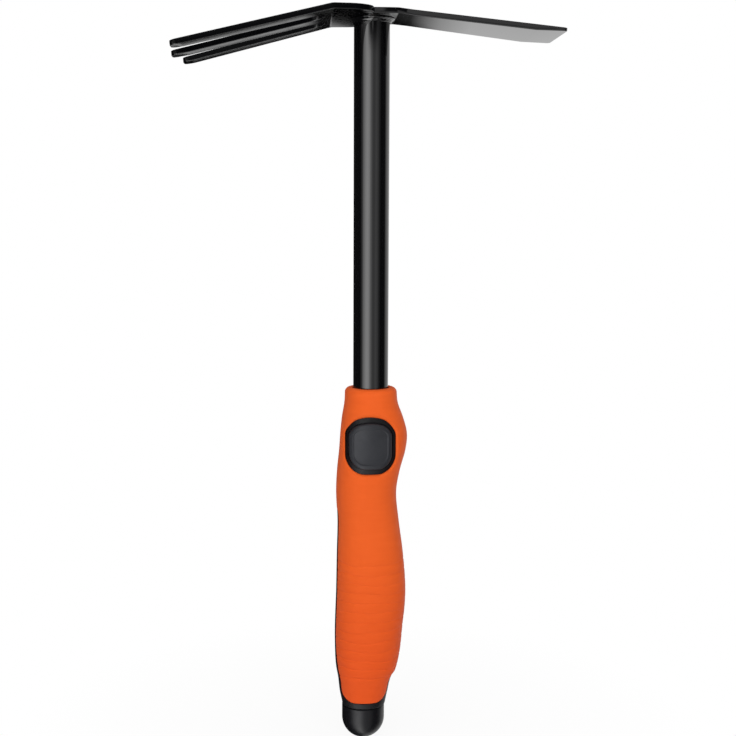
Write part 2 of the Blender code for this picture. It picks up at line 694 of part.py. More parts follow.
def make_spigot():
    """The square spigot riveted into the shaft's end, with a flange under it and the latch notch."""
    square = rounded_rectangle(-SPIGOT_HALF, SPIGOT_HALF, -SPIGOT_HALF, SPIGOT_HALF, [SPIGOT_CORNER] * 4, 4)
    shrink = (SPIGOT_HALF - SPIGOT_NOSE_CHAMFER) / SPIGOT_HALF
    flange_top = SHAFT_LOW - CLEAR
    flange_low = flange_top - SPIGOT_FLANGE
    rings = [
        [Vector((x * shrink, y * shrink, SPIGOT_LOW)) for x, y in square],
        [Vector((x, y, SPIGOT_LOW + SPIGOT_NOSE)) for x, y in square],
        [Vector((x, y, flange_top - SPIGOT_FLANGE / 2)) for x, y in square],
    ]
    spigot = loft("shaft_spigot", rings, BLACK_NYLON)
    shank = turned(
        "shank",
        [
            (0, flange_top + SPIGOT_SHANK),
            (SHAFT_BORE - CLEAR, flange_top + SPIGOT_SHANK),
            (SHAFT_BORE - CLEAR, flange_top),
            (SHAFT_RADIUS, flange_top),
            (SHAFT_RADIUS, flange_low),
            (0, flange_low),
        ],
        steps=36,
    )
    boolean(spigot, shank, "UNION")
    notch_low = TOOTH_LOW - CLEAR
    notch = box(
        "notch",
        (-NOTCH_WIDTH / 2, SPIGOT_HALF - NOTCH_DEPTH, notch_low),
        (NOTCH_WIDTH / 2, FAR, notch_low + NOTCH_HEIGHT),
    )
    return boolean(spigot, notch)


def make_shaft():
    """The steel tube, its spigot and the rivet through both."""
    top = PLATE_LOW - CLEAR
    profile = [(SHAFT_RADIUS, top), (SHAFT_RADIUS, SHAFT_LOW), (SHAFT_BORE, SHAFT_LOW), (SHAFT_BORE, top)]
    tube = turned("shaft_tube", profile, BLACK_COAT)
    spigot = make_spigot()
    height = SHAFT_LOW + SHAFT_INSERT / 2
    hole = cylinder("rivet_hole", RIVET_RADIUS + CLEAR, (-FAR, 0, height), (FAR, 0, height), segments=24)
    boolean(tube, hole)
    boolean(spigot, hole)
    cylinder("spigot_rivet", RIVET_RADIUS, (-SHAFT_RADIUS, 0, height), (SHAFT_RADIUS, 0, height), ZINC, 24)


def tine_offset(x):
    """How far the outer tine's centre line is from the middle at a distance along the plate."""
    share = (x - GULLET_X) / (OUTER_TINE_REACH - GULLET_X)
    return TINE_ROOT_OFFSET + (TINE_TIP_OFFSET - TINE_ROOT_OFFSET) * share


def head_loop():
    """The flat plate's outline: one side from the cutting edge to the middle tine, then its mirror."""
    half, r = TINE_WIDTH / 2, TINE_TIP_ROUND
    side = arc((BLADE_REACH - BLADE_CORNER, BLADE_CORNER - BLADE_HALF_WIDTH), BLADE_CORNER, 360, 280, 3)
    side.append((BLADE_BEND_X + BEND_RADIUS, -BLADE_ROOT_HALF_WIDTH))
    side.append((BLADE_BEND_X - BEND_RADIUS / 2, -HUB_HALF_WIDTH))
    rise = tine_offset(SHOULDER_LENGTH) + half - HUB_HALF_WIDTH
    for turn in (90, 75, 60, 45, 30, 15, 0):
        a = math.radians(turn)
        across = -HUB_HALF_WIDTH - rise * math.cos(a)
        side.append((-SHOULDER_LENGTH * (1 - math.sin(a)), across))
    tip, offset = r - OUTER_TINE_REACH, TINE_TIP_OFFSET
    side += arc((tip, r - half - offset), r, 270, 180, 4) + arc((tip, half - r - offset), r, 180, 90, 4)
    inner_edge = tine_offset(GULLET_X) - half
    gap_radius = (inner_edge - half) / 2
    centre = (-GULLET_X - gap_radius, -half - gap_radius)
    side += arc(centre, gap_radius, 285, 450, 9)[:-1]
    side += [(centre[0], -half)]
    side += arc((r - MIDDLE_TINE_REACH, r - half), r, 270, 180, 4)
    mirrored = [(x, -y) for x, y in side[::-1]]
    return side + mirrored


def bend(shape, bend_x, droop, direction):
    """Turn everything beyond a bend line down by an angle, over a bend radius."""
    length = BEND_RADIUS * droop
    for vertex in shape.verts:
        beyond = direction * (vertex.co.x - bend_x)
        if beyond <= 0:
            continue
        turn = min(beyond / length, 1.0) * droop
        radius = BEND_RADIUS + vertex.co.z - PLATE_LOW
        straight = max(beyond - length, 0.0)
        across = radius * math.sin(turn) + straight * math.cos(droop)
        drop = BEND_RADIUS - radius * math.cos(turn) + straight * math.sin(droop)
        vertex.co.x = bend_x + direction * across
        vertex.co.z = PLATE_LOW - drop


def make_head():
    """The stamped plate, its cutting edge and its tine tips ground from below, then bent both ways."""
    mesh = outline_mesh("hoe_head", [head_loop()], PLATE_THICKNESS)
    middle = PLATE_LOW + PLATE_THICKNESS / 2
    mesh.transform(Matrix.Translation((0, 0, middle)))
    shape = bmesh.new()
    shape.from_mesh(mesh)
    bmesh.ops.dissolve_limit(shape, angle_limit=math.radians(1), verts=shape.verts, edges=shape.edges)
    grind_start = BLADE_REACH - BLADE_GRIND
    bevel_start = TINE_TIP_BEVEL - OUTER_TINE_REACH
    cuts = [grind_start, bevel_start]
    bends = ((TINE_BEND_X, TINE_DROOP, -1), (BLADE_BEND_X, BLADE_DROOP, 1))
    for bend_x, droop, direction in bends:
        cuts += [bend_x + direction * BEND_RADIUS * droop * i / BEND_FACETS for i in range(BEND_FACETS + 1)]
    for x in cuts:
        everything = shape.verts[:] + shape.edges[:] + shape.faces[:]
        bmesh.ops.bisect_plane(
            shape, geom=everything, plane_co=(x, 0, 0), plane_no=(1, 0, 0), dist=0.001 * MM
        )
    for vertex in shape.verts:
        ground = (vertex.co.x - grind_start) / BLADE_GRIND
        bevelled = (bevel_start - vertex.co.x) / TINE_TIP_BEVEL
        if ground > 0 and vertex.co.z < middle:
            vertex.co.z += ground * (PLATE_THICKNESS - BLADE_EDGE)
        if bevelled > 0 and vertex.co.z < middle:
            vertex.co.z += min(bevelled, 1.0) * (PLATE_THICKNESS - TINE_TIP_THICKNESS)
    for bend_x, droop, direction in bends:
        bend(shape, bend_x, droop, direction)
    bmesh.ops.triangulate(shape, faces=shape.faces[:])
    shape.to_mesh(mesh)
    shape.free()
    return add_object("hoe_head", mesh, BLACK_COAT)


def make_weld():
    """The fillet weld all round the shaft under the plate."""
    inner, top = SHAFT_RADIUS + CLEAR, PLATE_LOW - CLEAR
    profile = [(inner, top), (inner + WELD_SIZE, top)]
    for turn in (22.5, 45, 67.5):
        a = math.radians(turn)
        out = WELD_SIZE * (1 - WELD_HOLLOW * math.sin(a))
        down = WELD_SIZE * (1 - WELD_HOLLOW * math.cos(a))
        profile.append((inner + out, top - down))
    profile.append((inner, top - WELD_SIZE))
    return turned("head_weld", profile, BLACK_COAT, steps=40)


def skin(x, z, side):
    """Y of the handle's outside at a place in X and Z, in front (side -1) or behind (side 1)."""
    left, right, front, back = handle_reach(z)
    share = abs((x - (right - left) / 2) / ((left + right) / 2)) ** SECTION_POWER
    return (back - front) / 2 + side * (front + back) / 2 * (1 - share) ** (1 / SECTION_POWER)


def make_screws(core_front, core_rear, grip_rear):
    """The case screws, driven from behind through the rear shell into the front one."""
    for number, (x, z) in enumerate(screw_places(), start=1):
        seat = skin(x, z, 1) - SCREW_SINK
        tip, top = seat - SCREW_LENGTH, seat + SCREW_HEAD_HEIGHT
        screw = cylinder(f"case_screw_{number}", SCREW_HEAD_RADIUS, (x, seat, z), (x, top, z), ZINC, 24)
        shank = cylinder(
            f"screw_shank_{number}", SCREW_RADIUS, (x, tip, z), (x, top - SCREW_SOCKET_DEPTH, z), segments=20
        )
        drive = cylinder(
            f"screw_drive_{number}", SCREW_SOCKET_RADIUS, (x, top - SCREW_SOCKET_DEPTH / 2, z), (x, FAR, z),
            segments=6,
        )
        boolean(screw, shank, "UNION")
        boolean(screw, drive)
        pilot = cylinder(
            f"screw_hole_{number}", SCREW_RADIUS + CLEAR, (x, tip - CLEAR, z), (x, seat, z), segments=20
        )
        recess = cylinder(
            f"screw_recess_{number}", SCREW_HEAD_RADIUS + CLEAR, (x, seat - CLEAR, z), (x, FAR, z),
            segments=24,
        )
        boolean(core_front, pilot)
        boolean(core_rear, pilot)
        boolean(core_rear, recess)
        boolean(grip_rear, recess, solver="MANIFOLD")


def main():
    """Make every piece of the tool."""
    grip_window = standing(
        "grip_window", button_loop(WINDOW_MARGIN, WINDOW_RISE), -FAR, -GRIP_WINDOW_BACK, STAND_XZ
    )
    core_window = standing("core_window", button_loop(BUTTON_GAP), -FAR, -CORE_WINDOW_BACK, STAND_XZ)
    core_front, core_rear = make_core(core_window)
    _, grip_rear = make_grip(grip_window)
    make_screws(core_front, core_rear, grip_rear)
    make_cap()
    make_button()
    make_yoke()
    make_leaf()
    make_shaft()
    make_head()
    make_weld()


main()
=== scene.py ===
"""Looks of a hand double hoe: a tine-and-blade head on a gloss black shaft, in a soft-grip handle."""

from __future__ import annotations

import logging
import math
from dataclasses import dataclass
from enum import Enum
from typing import Callable, Sequence, Union

import bmesh
import bpy
from mathutils import Matrix, Vector

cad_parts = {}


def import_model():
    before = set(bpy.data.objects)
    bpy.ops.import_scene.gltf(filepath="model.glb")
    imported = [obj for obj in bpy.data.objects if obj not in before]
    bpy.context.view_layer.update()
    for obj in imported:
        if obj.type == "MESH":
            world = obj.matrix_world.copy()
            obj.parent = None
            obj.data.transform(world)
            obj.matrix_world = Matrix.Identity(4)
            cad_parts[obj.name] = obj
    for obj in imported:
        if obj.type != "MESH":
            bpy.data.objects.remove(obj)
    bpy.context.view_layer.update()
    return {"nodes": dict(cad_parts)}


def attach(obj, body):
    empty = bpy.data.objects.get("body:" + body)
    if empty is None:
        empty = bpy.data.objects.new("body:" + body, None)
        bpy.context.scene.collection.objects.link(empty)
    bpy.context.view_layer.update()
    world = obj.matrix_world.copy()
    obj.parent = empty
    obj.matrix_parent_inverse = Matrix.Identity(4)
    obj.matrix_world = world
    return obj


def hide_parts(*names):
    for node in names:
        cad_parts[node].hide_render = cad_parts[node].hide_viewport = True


MM = 0.001
TURN = 360
# Points closer than this are one point.
MERGE = 0.002 * MM
# The shaft's place in X. The frame's origin is under the end cap, which stands beside it.
AXIS_X = 3.6 * MM
# How far cutters reach on each side of the tool.
PAST = 60 * MM
LOG = logging.getLogger("double_hoe")

Piece = bpy.types.Object
Socket = bpy.types.NodeSocket
Value = Union[Socket, float, tuple[float, ...]]
# A place in a plane, the two ends of a range, or a card's azimuth and strength.
Point = tuple[float, float]
# A place, a colour, or a stretch along the axes.
Triple = tuple[float, float, float]
Loop = list[Point]
Rings = list[list[Vector]]


class Body(Enum):
    """The bodies of the frame that a piece can ride on."""

    HANDLE = "handle"
    BUTTON = "button"
    HEAD = "head"


class Side(Enum):
    """The front and the rear shell of the handle, by the sign of Y."""

    FRONT = -1
    REAR = 1


class Join(Enum):
    """What a Boolean does with its tool."""

    CUT = "DIFFERENCE"
    ADD = "UNION"
    CROSS = "INTERSECT"


class Solver(Enum):
    """How a Boolean is solved."""

    QUICK = "MANIFOLD"
    EXACT = "EXACT"


class Sum(Enum):
    """What a math node does with its values."""

    ADD = "ADD"
    SUBTRACT = "SUBTRACT"
    MULTIPLY = "MULTIPLY"
    MAXIMUM = "MAXIMUM"
    ANGLE = "ARCTAN2"


class Ease(Enum):
    """How one range is mapped onto another."""

    STRAIGHT = "LINEAR"
    SMOOTH = "SMOOTHSTEP"


class Blend(Enum):
    """How two colours meet."""

    OVER = "MIX"
    TIMES = "MULTIPLY"


class Detail(Enum):
    """How fine the smallest features of a noise are."""

    SOFT = 1.5
    PLAIN = 2.0
    FINE = 3.0


class Axis(Enum):
    """What a soft limit of light is measured along: a direction's X, Y or Z, or Z tilted against X."""

    X = "X"
    Y = "Y"
    Z = "Z"
    TILTED = "TILTED"


class Bench:
    """Blender's own operators, used on one piece at a time as by hand."""

    GRID_HALF = 0.5
    FLAT_WEIGHT = 90

    @staticmethod
    def clear() -> None:
        """Leave edit mode and deselect everything."""
        if bpy.context.mode != "OBJECT":
            bpy.ops.object.mode_set(mode="OBJECT")
        bpy.ops.object.select_all(action="DESELECT")

    @classmethod
    def take(cls, piece: Piece) -> None:
        """Make a piece the only selected one, and the active one.

        Args:
            piece: The piece.
        """
        cls.clear()
        piece.select_set(True)
        bpy.context.view_layer.objects.active = piece

    @classmethod
    def edit(cls, piece: Piece, selected: bool = True) -> None:
        """Go into edit mode.

        Args:
            piece: The piece to edit.
            selected: Whether all of it starts selected, or nothing.
        """
        cls.take(piece)
        bpy.ops.object.mode_set(mode="EDIT")
        bpy.ops.mesh.select_all(action="SELECT" if selected else "DESELECT")

    @classmethod
    def apply(cls, piece: Piece, modifier: bpy.types.Modifier) -> None:
        """Apply one of a piece's modifiers."""
        cls.take(piece)
        bpy.ops.object.modifier_apply(modifier=modifier.name)

    @staticmethod
    def adopt(name: str) -> Piece:
        """Give the primitive that was just added its name.

        Args:
            name: The name of the piece and of its mesh.

        Returns:
            The new piece.
        """
        piece = bpy.context.active_object
        piece.name = piece.data.name = name
        return piece

    @classmethod
    def drop_edges(cls, piece: Piece, test: Callable[[bmesh.types.BMEdge], bool]) -> None:
        """Delete a piece's edges that pass a test.

        Args:
            piece: The piece.
            test: Called with each edge.
        """
        cls.edit(piece, selected=False)
        bpy.ops.mesh.select_mode(type="EDGE")
        for edge in filter(test, bmesh.from_edit_mesh(piece.data).edges):
            edge.select_set(True)
        bmesh.update_edit_mesh(piece.data)
        bpy.ops.mesh.delete(type="EDGE")

    @classmethod
    def close(cls, piece: Piece) -> None:
        """Merge doubles, fill open ends and point every face outwards.

        Args:
            piece: The piece.
        """
        cls.edit(piece)
        bpy.ops.mesh.remove_doubles(threshold=MERGE)
        bpy.ops.mesh.select_all(action="SELECT")
        bpy.ops.mesh.fill_holes(sides=0)
        bpy.ops.mesh.select_all(action="SELECT")
        bpy.ops.mesh.normals_make_consistent(inside=False)
        bpy.ops.object.mode_set(mode="OBJECT")

    @classmethod
    def ring_form(cls, name: str, rings: Rings) -> Piece:
        """A grid rolled into a closed form through rings of points.

        Args:
            name: The new piece's name.
            rings: Rings with the same number of points each, in order along the form.

        Returns:
            The closed form, its two ends filled.
        """
        around, along = len(rings[0]), len(rings) - 1
        cls.clear()
        bpy.ops.mesh.primitive_grid_add(
            x_subdivisions=around, y_subdivisions=along, size=2 * cls.GRID_HALF
        )
        piece = cls.adopt(name)
        for vertex in piece.data.vertices:
            i = round((vertex.co.x + cls.GRID_HALF) * around) % around
            j = round((vertex.co.y + cls.GRID_HALF) * along)
            vertex.co = rings[j][i]
        cls.close(piece)
        return piece

    @classmethod
    def turned(cls, name: str, profile: Loop, centre_x: float, steps: int) -> Piece:
        """A profile spun about an upright line.

        Args:
            name: The new piece's name.
            profile: Radius and height of each corner, all round, or from the line back to the line.
            centre_x: Where the line stands in X.
            steps: Facets in a full turn.

        Returns:
            The closed turned form.
        """
        cls.clear()
        bpy.ops.mesh.primitive_circle_add(vertices=len(profile), radius=1, fill_type="NOTHING")
        piece = cls.adopt(name)
        for vertex, (radius, height) in zip(piece.data.vertices, profile):
            vertex.co = (centre_x + radius, 0, height)
        if abs(profile[0][0]) < MERGE and abs(profile[-1][0]) < MERGE:
            cls.drop_edges(piece, lambda edge: all(abs(v.co.x - centre_x) < MERGE for v in edge.verts))
        cls.edit(piece)
        bpy.ops.mesh.spin(
            steps=steps, angle=math.tau, center=(centre_x, 0, 0), axis=(0, 0, 1), use_normal_flip=False
        )
        cls.close(piece)
        return piece

    @classmethod
    def slab(cls, name: str, outline: Sequence[Vector], push: Vector) -> Piece:
        """A flat outline extruded into a closed slab.

        Args:
            name: The new piece's name.
            outline: The corners of one face, in order.
            push: How far and which way the face is extruded.

        Returns:
            The closed slab.
        """
        cls.clear()
        bpy.ops.mesh.primitive_circle_add(vertices=len(outline), radius=1, fill_type="NGON")
        piece = cls.adopt(name)
        for vertex, place in zip(piece.data.vertices, outline):
            vertex.co = place
        cls.edit(piece)
        bpy.ops.mesh.extrude_region_move(TRANSFORM_OT_translate={"value": tuple(push)})
        bpy.ops.mesh.select_all(action="SELECT")
        bpy.ops.mesh.normals_make_consistent(inside=False)
        bpy.ops.object.mode_set(mode="OBJECT")
        return piece

    @classmethod
    def rod(cls, name: str, radius: float, start: Vector, end: Vector, facets: int = 48) -> Piece:
        """A round bar from one point to another, for use in cuts and joins.

        Args:
            name: The new piece's name.
            radius: The bar's radius.
            start: The middle of one end.
            end: The middle of the other end.
            facets: How many flat sides stand for its round.

        Returns:
            The closed bar.
        """
        along = end - start
        turn = along.to_track_quat("Z", "Y").to_matrix().to_4x4()
        cls.clear()
        bpy.ops.mesh.primitive_cylinder_add(vertices=facets, radius=radius, depth=along.length)
        piece = cls.adopt(name)
        piece.data.transform(Matrix.Translation((start + end) / 2) @ turn)
        return piece

    @classmethod
    def block(cls, name: str, low: Triple, high: Triple) -> Piece:
        """A box for use in cuts and joins.

        Args:
            name: The new piece's name.
            low: Its lowest corner.
            high: Its highest corner.

        Returns:
            The closed box.
        """
        corners = [(low[0], low[1]), (high[0], low[1]), (high[0], high[1]), (low[0], high[1])]
        outline = [Vector((x, y, low[2])) for x, y in corners]
        return cls.slab(name, outline, Vector((0, 0, high[2] - low[2])))

    @classmethod
    def combine(
        cls, piece: Piece, other: Piece, join: Join = Join.CUT, solver: Solver = Solver.QUICK
    ) -> None:
        """Cut, join or cross a piece with another one, which is used up.

        Args:
            piece: The piece that is changed.
            other: The tool.
            join: What the tool does.
            solver: How it is worked out.
        """
        modifier = piece.modifiers.new("combine", "BOOLEAN")
        modifier.operation, modifier.solver, modifier.object = join.value, solver.value, other
        cls.apply(piece, modifier)
        bpy.data.objects.remove(other, do_unlink=True)

    @classmethod
    def soften(cls, piece: Piece, width: float, segments: int, degrees: float) -> None:
        """Round every edge sharper than an angle.

        Args:
            piece: The piece.
            width: How wide the rounding is.
            segments: How many faces it has across.
            degrees: The angle.
        """
        modifier = piece.modifiers.new("soften", "BEVEL")
        modifier.width, modifier.segments = width, segments
        modifier.limit_method, modifier.angle_limit = "ANGLE", math.radians(degrees)
        modifier.use_clamp_overlap = True
        cls.apply(piece, modifier)

    @classmethod
    def smooth(cls, piece: Piece, crease: float) -> None:
        """Shade a piece smooth, except over sharp edges.

        Args:
            piece: The piece.
            crease: The angle in degrees from which an edge is sharp.
        """
        cls.take(piece)
        bpy.ops.object.shade_smooth_by_angle(angle=math.radians(crease))
        cls.clear()

    @classmethod
    def flatten(cls, piece: Piece) -> None:
        """Let the large faces keep flat normals, so that only the rounded edges between them turn.

        Args:
            piece: The piece.
        """
        modifier = piece.modifiers.new("flatten", "WEIGHTED_NORMAL")
        modifier.keep_sharp, modifier.weight = True, cls.FLAT_WEIGHT
        cls.apply(piece, modifier)


class Wiring:
    """A node tree, with the nodes that the finishes and the studio use."""

    RANGE_SOCKETS = ("From Min", "From Max", "To Min", "To Max")

    def __init__(self, tree: bpy.types.NodeTree) -> None:
        """Work on a node tree."""
        self.tree = tree

    def fill(self, socket: Socket, value: Value) -> None:
        """Set an input's constant, or link another node's output into it.

        Args:
            socket: The input.
            value: The constant or the output.
        """
        if isinstance(value, Socket):
            self.tree.links.new(value, socket)
        else:
            socket.default_value = value

    def node(
        self, kind: str, sockets: dict[str | int, Value] | None = None, **options: str
    ) -> bpy.types.Node:
        """Add a node, set its options and fill its inputs.

        Args:
            kind: The node's type, without the ShaderNode that all of them start with.
            sockets: What fills each input, by the input's name or number.
            options: The node's own settings.

        Returns:
            The new node.
        """
        node = self.tree.nodes.new(f"ShaderNode{kind}")
        for name, option in options.items():
            setattr(node, name, option)
        for name, value in (sockets or {}).items():
            self.fill(node.inputs[name], value)
        return node

    def sum_up(self, kind: Sum, *values: Socket | float) -> Socket:
        """A math node of two values."""
        return self.node("Math", dict(enumerate(values)), operation=kind.value).outputs[0]

    def ranged(
        self, value: Socket, start: Point, end: Point = (0.0, 1.0), ease: Ease = Ease.SMOOTH
    ) -> Socket:
        """One range of a value mapped onto another.

        Args:
            value: The value.
            start: The range that it is taken from.
            end: The range that it is put in.
            ease: How the one goes over into the other.

        Returns:
            The mapped value, held to the second range.
        """
        sockets = {"Value": value, **dict(zip(self.RANGE_SOCKETS, (*start, *end)))}
        return self.node("MapRange", sockets, interpolation_type=ease.value).outputs["Result"]

    def mixed(self, factor: Socket, one: Socket, other: Socket) -> Socket:
        """One shader over into another by a factor."""
        return self.node("MixShader", {0: factor, 1: one, 2: other}).outputs[0]


class Sketch(Wiring):
    """A new material's node tree, with what every finish here needs."""

    COLOUR_INPUTS = (6, 7)
    COLOUR_OUTPUT = 2
    NOISE_MIDDLE: Point = (0.3, 0.7)

    def __init__(self, name: str, **constants: Value) -> None:
        """Start a material.

        Args:
            name: The material's name.
            constants: What is the same all over: the shader's sockets, with underscores for spaces.
        """
        self.material = bpy.data.materials.new(name)
        self.material.use_nodes = True
        super().__init__(self.material.node_tree)
        self.shader = self.tree.nodes["Principled BSDF"]
        self.place = self.node("TexCoord").outputs["Object"]
        for socket, value in constants.items():
            self.fill(self.shader.inputs[socket.replace("_", " ")], value)

    def noise(self, size: float, detail: Detail, stretch: Triple | None = None) -> Socket:
        """Noise on object coordinates.

        Args:
            size: About how large its features are.
            detail: How fine its smallest features are.
            stretch: How much closer together they are along each axis.

        Returns:
            The noise's value.
        """
        place = self.place
        if stretch is not None:
            place = self.node("Mapping", {"Vector": place, "Scale": stretch}).outputs["Vector"]
        sockets = {"Vector": place, "Scale": 1 / size, "Detail": detail.value}
        return self.node("TexNoise", sockets).outputs["Fac"]

    def spread(self, noise: Socket, ends: Point) -> Socket:
        """Noise's middle range mapped onto a range of its own."""
        return self.ranged(noise, self.NOISE_MIDDLE, ends, Ease.STRAIGHT)

    def blend(
        self, factor: Socket, one: Triple | Socket, other: Triple, blend: Blend = Blend.OVER
    ) -> Socket:
        """One colour over into another, or into both multiplied.

        Args:
            factor: How far.
            one: The first colour.
            other: The second colour.
            blend: How they meet.

        Returns:
            The blended colour.
        """
        colours = (one if isinstance(one, Socket) else (*one, 1), (*other, 1))
        sockets = {0: factor, **dict(zip(self.COLOUR_INPUTS, colours))}
        node = self.node("Mix", sockets, data_type="RGBA", blend_type=blend.value)
        return node.outputs[self.COLOUR_OUTPUT]

    def finish(
        self, colour: Socket, roughness: Socket, height: Socket, depth: float
    ) -> bpy.types.Material:
        """Wire what changes over the surface into the shader.

        Args:
            colour: The base colour.
            roughness: The roughness.
            height: The relief, from 0 to 1.
            depth: How deep the relief is.

        Returns:
            The finished material.
        """
        normal = self.node("Bump", {"Height": height, "Distance": depth}).outputs["Normal"]
        for name, output in (("Base Color", colour), ("Roughness", roughness), ("Normal", normal)):
            self.fill(self.shader.inputs[name], output)
        return self.material


@dataclass(frozen=True)
class GlossCoat:
    """Gloss black powder coat on steel, with a faint orange peel."""

    name: str = "gloss_black_coat"
    refractive_index: float = 1.5
    deep: Triple = (0.0012, 0.0012, 0.0016)
    light: Triple = (0.0026, 0.0026, 0.0032)
    cloud_size: float = 9.0 * MM
    roughness: Point = (0.03, 0.05)
    rough_size: float = 5.0 * MM
    peel_size: float = 2.2 * MM
    peel_depth: float = 0.001 * MM

    def build(self) -> bpy.types.Material:
        """Make the coat.

        Returns:
            The material.
        """
        sketch = Sketch(self.name, IOR=self.refractive_index)
        colour = sketch.blend(sketch.noise(self.cloud_size, Detail.PLAIN), self.deep, self.light)
        rough = sketch.spread(sketch.noise(self.rough_size, Detail.FINE), self.roughness)
        return sketch.finish(colour, rough, sketch.noise(self.peel_size, Detail.SOFT), self.peel_depth)


@dataclass(frozen=True)
class SoftRubber:
    """Soft-touch orange rubber with a fine grain and a slight sheen, and painted shade that makes it darker
    and redder towards the foot.
    """

    name: str = "orange_soft_rubber"
    refractive_index: float = 1.45
    gloss: float = 0.2
    sheen: float = 0.03
    sheen_roughness: float = 0.5
    deep: Triple = (0.80, 0.107, 0.012)
    light: Triple = (0.85, 0.124, 0.016)
    streak_size: float = 6.0 * MM
    streak_stretch: Triple = (0.5, 0.5, 2.5)
    # Painted shade: this tint multiplies the colour darker and redder towards the foot, in place of light
    # that falls off lower down.
    painted_foot_shade: Triple = (0.96, 0.80, 0.80)
    painted_shade_reach: Point = (112.0 * MM, 45.0 * MM)
    roughness: Point = (0.56, 0.66)
    rough_size: float = 3.0 * MM
    grain_size: float = 0.45 * MM
    grain_depth: float = 0.02 * MM

    def build(self) -> bpy.types.Material:
        """Make the rubber.

        Returns:
            The material.
        """
        sketch = Sketch(
            self.name,
            IOR=self.refractive_index,
            Specular_IOR_Level=self.gloss,
            Sheen_Weight=self.sheen,
            Sheen_Roughness=self.sheen_roughness,
        )
        streaks = sketch.noise(self.streak_size, Detail.FINE, self.streak_stretch)
        height = sketch.node("SeparateXYZ", {0: sketch.place}).outputs["Z"]
        # Painted shade: how far down the handle the darker, redder tint has come in.
        painted_shade_share = sketch.ranged(height, self.painted_shade_reach, ease=Ease.STRAIGHT)
        colour = sketch.blend(streaks, self.deep, self.light)
        colour = sketch.blend(painted_shade_share, colour, self.painted_foot_shade, Blend.TIMES)
        rough = sketch.spread(sketch.noise(self.rough_size, Detail.FINE), self.roughness)
        return sketch.finish(colour, rough, sketch.noise(self.grain_size, Detail.PLAIN), self.grain_depth)


@dataclass(frozen=True)
class MouldedPlastic:
    """Hard moulded plastic with a spark-eroded grain."""

    name: str
    deep: Triple
    light: Triple
    roughness: Point
    gloss: float = 0.5
    refractive_index: float = 1.5
    cloud_size: float = 4.0 * MM
    rough_size: float = 2.0 * MM
    grain_size: float = 0.3 * MM
    grain_depth: float = 0.012 * MM

    def build(self) -> bpy.types.Material:
        """Make the plastic.

        Returns:
            The material.
        """
        sketch = Sketch(self.name, IOR=self.refractive_index, Specular_IOR_Level=self.gloss)
        colour = sketch.blend(sketch.noise(self.cloud_size, Detail.FINE), self.deep, self.light)
        rough = sketch.spread(sketch.noise(self.rough_size, Detail.PLAIN), self.roughness)
        return sketch.finish(colour, rough, sketch.noise(self.grain_size, Detail.PLAIN), self.grain_depth)


@dataclass(frozen=True)
class BareMetal:
    """Bare or plated steel with fine drawn lines along one axis."""

    name: str
    deep: Triple
    light: Triple
    roughness: Point
    lines: Triple = (8.0, 8.0, 0.4)
    line_depth: float = 0.004 * MM
    line_size: float = 1.2 * MM
    rough_size: float = 1.5 * MM

    def build(self) -> bpy.types.Material:
        """Make the metal.

        Returns:
            The material.
        """
        sketch = Sketch(self.name, Metallic=1.0)
        lines = sketch.noise(self.line_size, Detail.FINE, self.lines)
        colour = sketch.blend(lines, self.deep, self.light)
        rough = sketch.spread(sketch.noise(self.rough_size, Detail.PLAIN), self.roughness)
        return sketch.finish(colour, rough, lines, self.line_depth)


class Finishes:
    """Every finish on the tool, made once."""

    def __init__(self) -> None:
        """Make the materials."""
        self.coat = GlossCoat().build()
        self.rubber = SoftRubber().build()
        self.core = MouldedPlastic(
            "black_core_plastic", (0.004, 0.004, 0.005), (0.007, 0.007, 0.008), (0.44, 0.54), gloss=0.2
        ).build()
        self.grey = MouldedPlastic(
            "dark_grey_plastic", (0.024, 0.025, 0.029), (0.031, 0.032, 0.037), (0.36, 0.46), gloss=0.16
        ).build()
        self.cap = MouldedPlastic(
            "black_cap_plastic", (0.003, 0.003, 0.004), (0.006, 0.006, 0.008), (0.30, 0.38), gloss=0.22
        ).build()
        self.nylon = MouldedPlastic(
            "black_nylon", (0.014, 0.014, 0.015), (0.020, 0.020, 0.022), (0.42, 0.52)
        ).build()
        self.spring = BareMetal(
            "spring_steel", (0.48, 0.48, 0.49), (0.62, 0.62, 0.62), (0.22, 0.34)
        ).build()
        self.zinc = BareMetal(
            "zinc_plate", (0.55, 0.56, 0.58), (0.70, 0.70, 0.71), (0.28, 0.42), (1.0, 1.0, 1.0), 0.008 * MM
        ).build()


def arc(centre: Point, radius: float, start: float, end: float, points: int) -> Loop:
    """Points on an arc, its angles in degrees."""
    angles = [math.radians(start + (end - start) * i / points) for i in range(points + 1)]
    return [(centre[0] + radius * math.cos(a), centre[1] + radius * math.sin(a)) for a in angles]


def turns(degrees: Sequence[float]) -> list[Point]:
    """The cosine and the sine of each angle, for edges that roll over through part of a turn."""
    return [(math.cos(math.radians(a)), math.sin(math.radians(a))) for a in degrees]


def bearing(azimuth: float, elevation: float) -> Vector:
    """The direction from the tool towards a camera or a lamp, by its angles in degrees."""
    a, e = math.radians(azimuth), math.radians(elevation)
    return Vector((math.sin(a) * math.cos(e), -math.cos(a) * math.cos(e), math.sin(e)))


def finish_piece(
    piece: Piece, material: bpy.types.Material, body: Body, node: str
) -> Piece:
    """Dress a finished piece and put it in the frame.

    Args:
        piece: The piece, at the origin with its place in its mesh.
        material: Its finish.
        body: What it rides on.
        node: The CAD node that it stands for.

    Returns:
        The piece.
    """
    piece.data.materials.clear()
    piece.data.materials.append(material)
    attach(piece, body.value)
    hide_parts(node)
    return piece


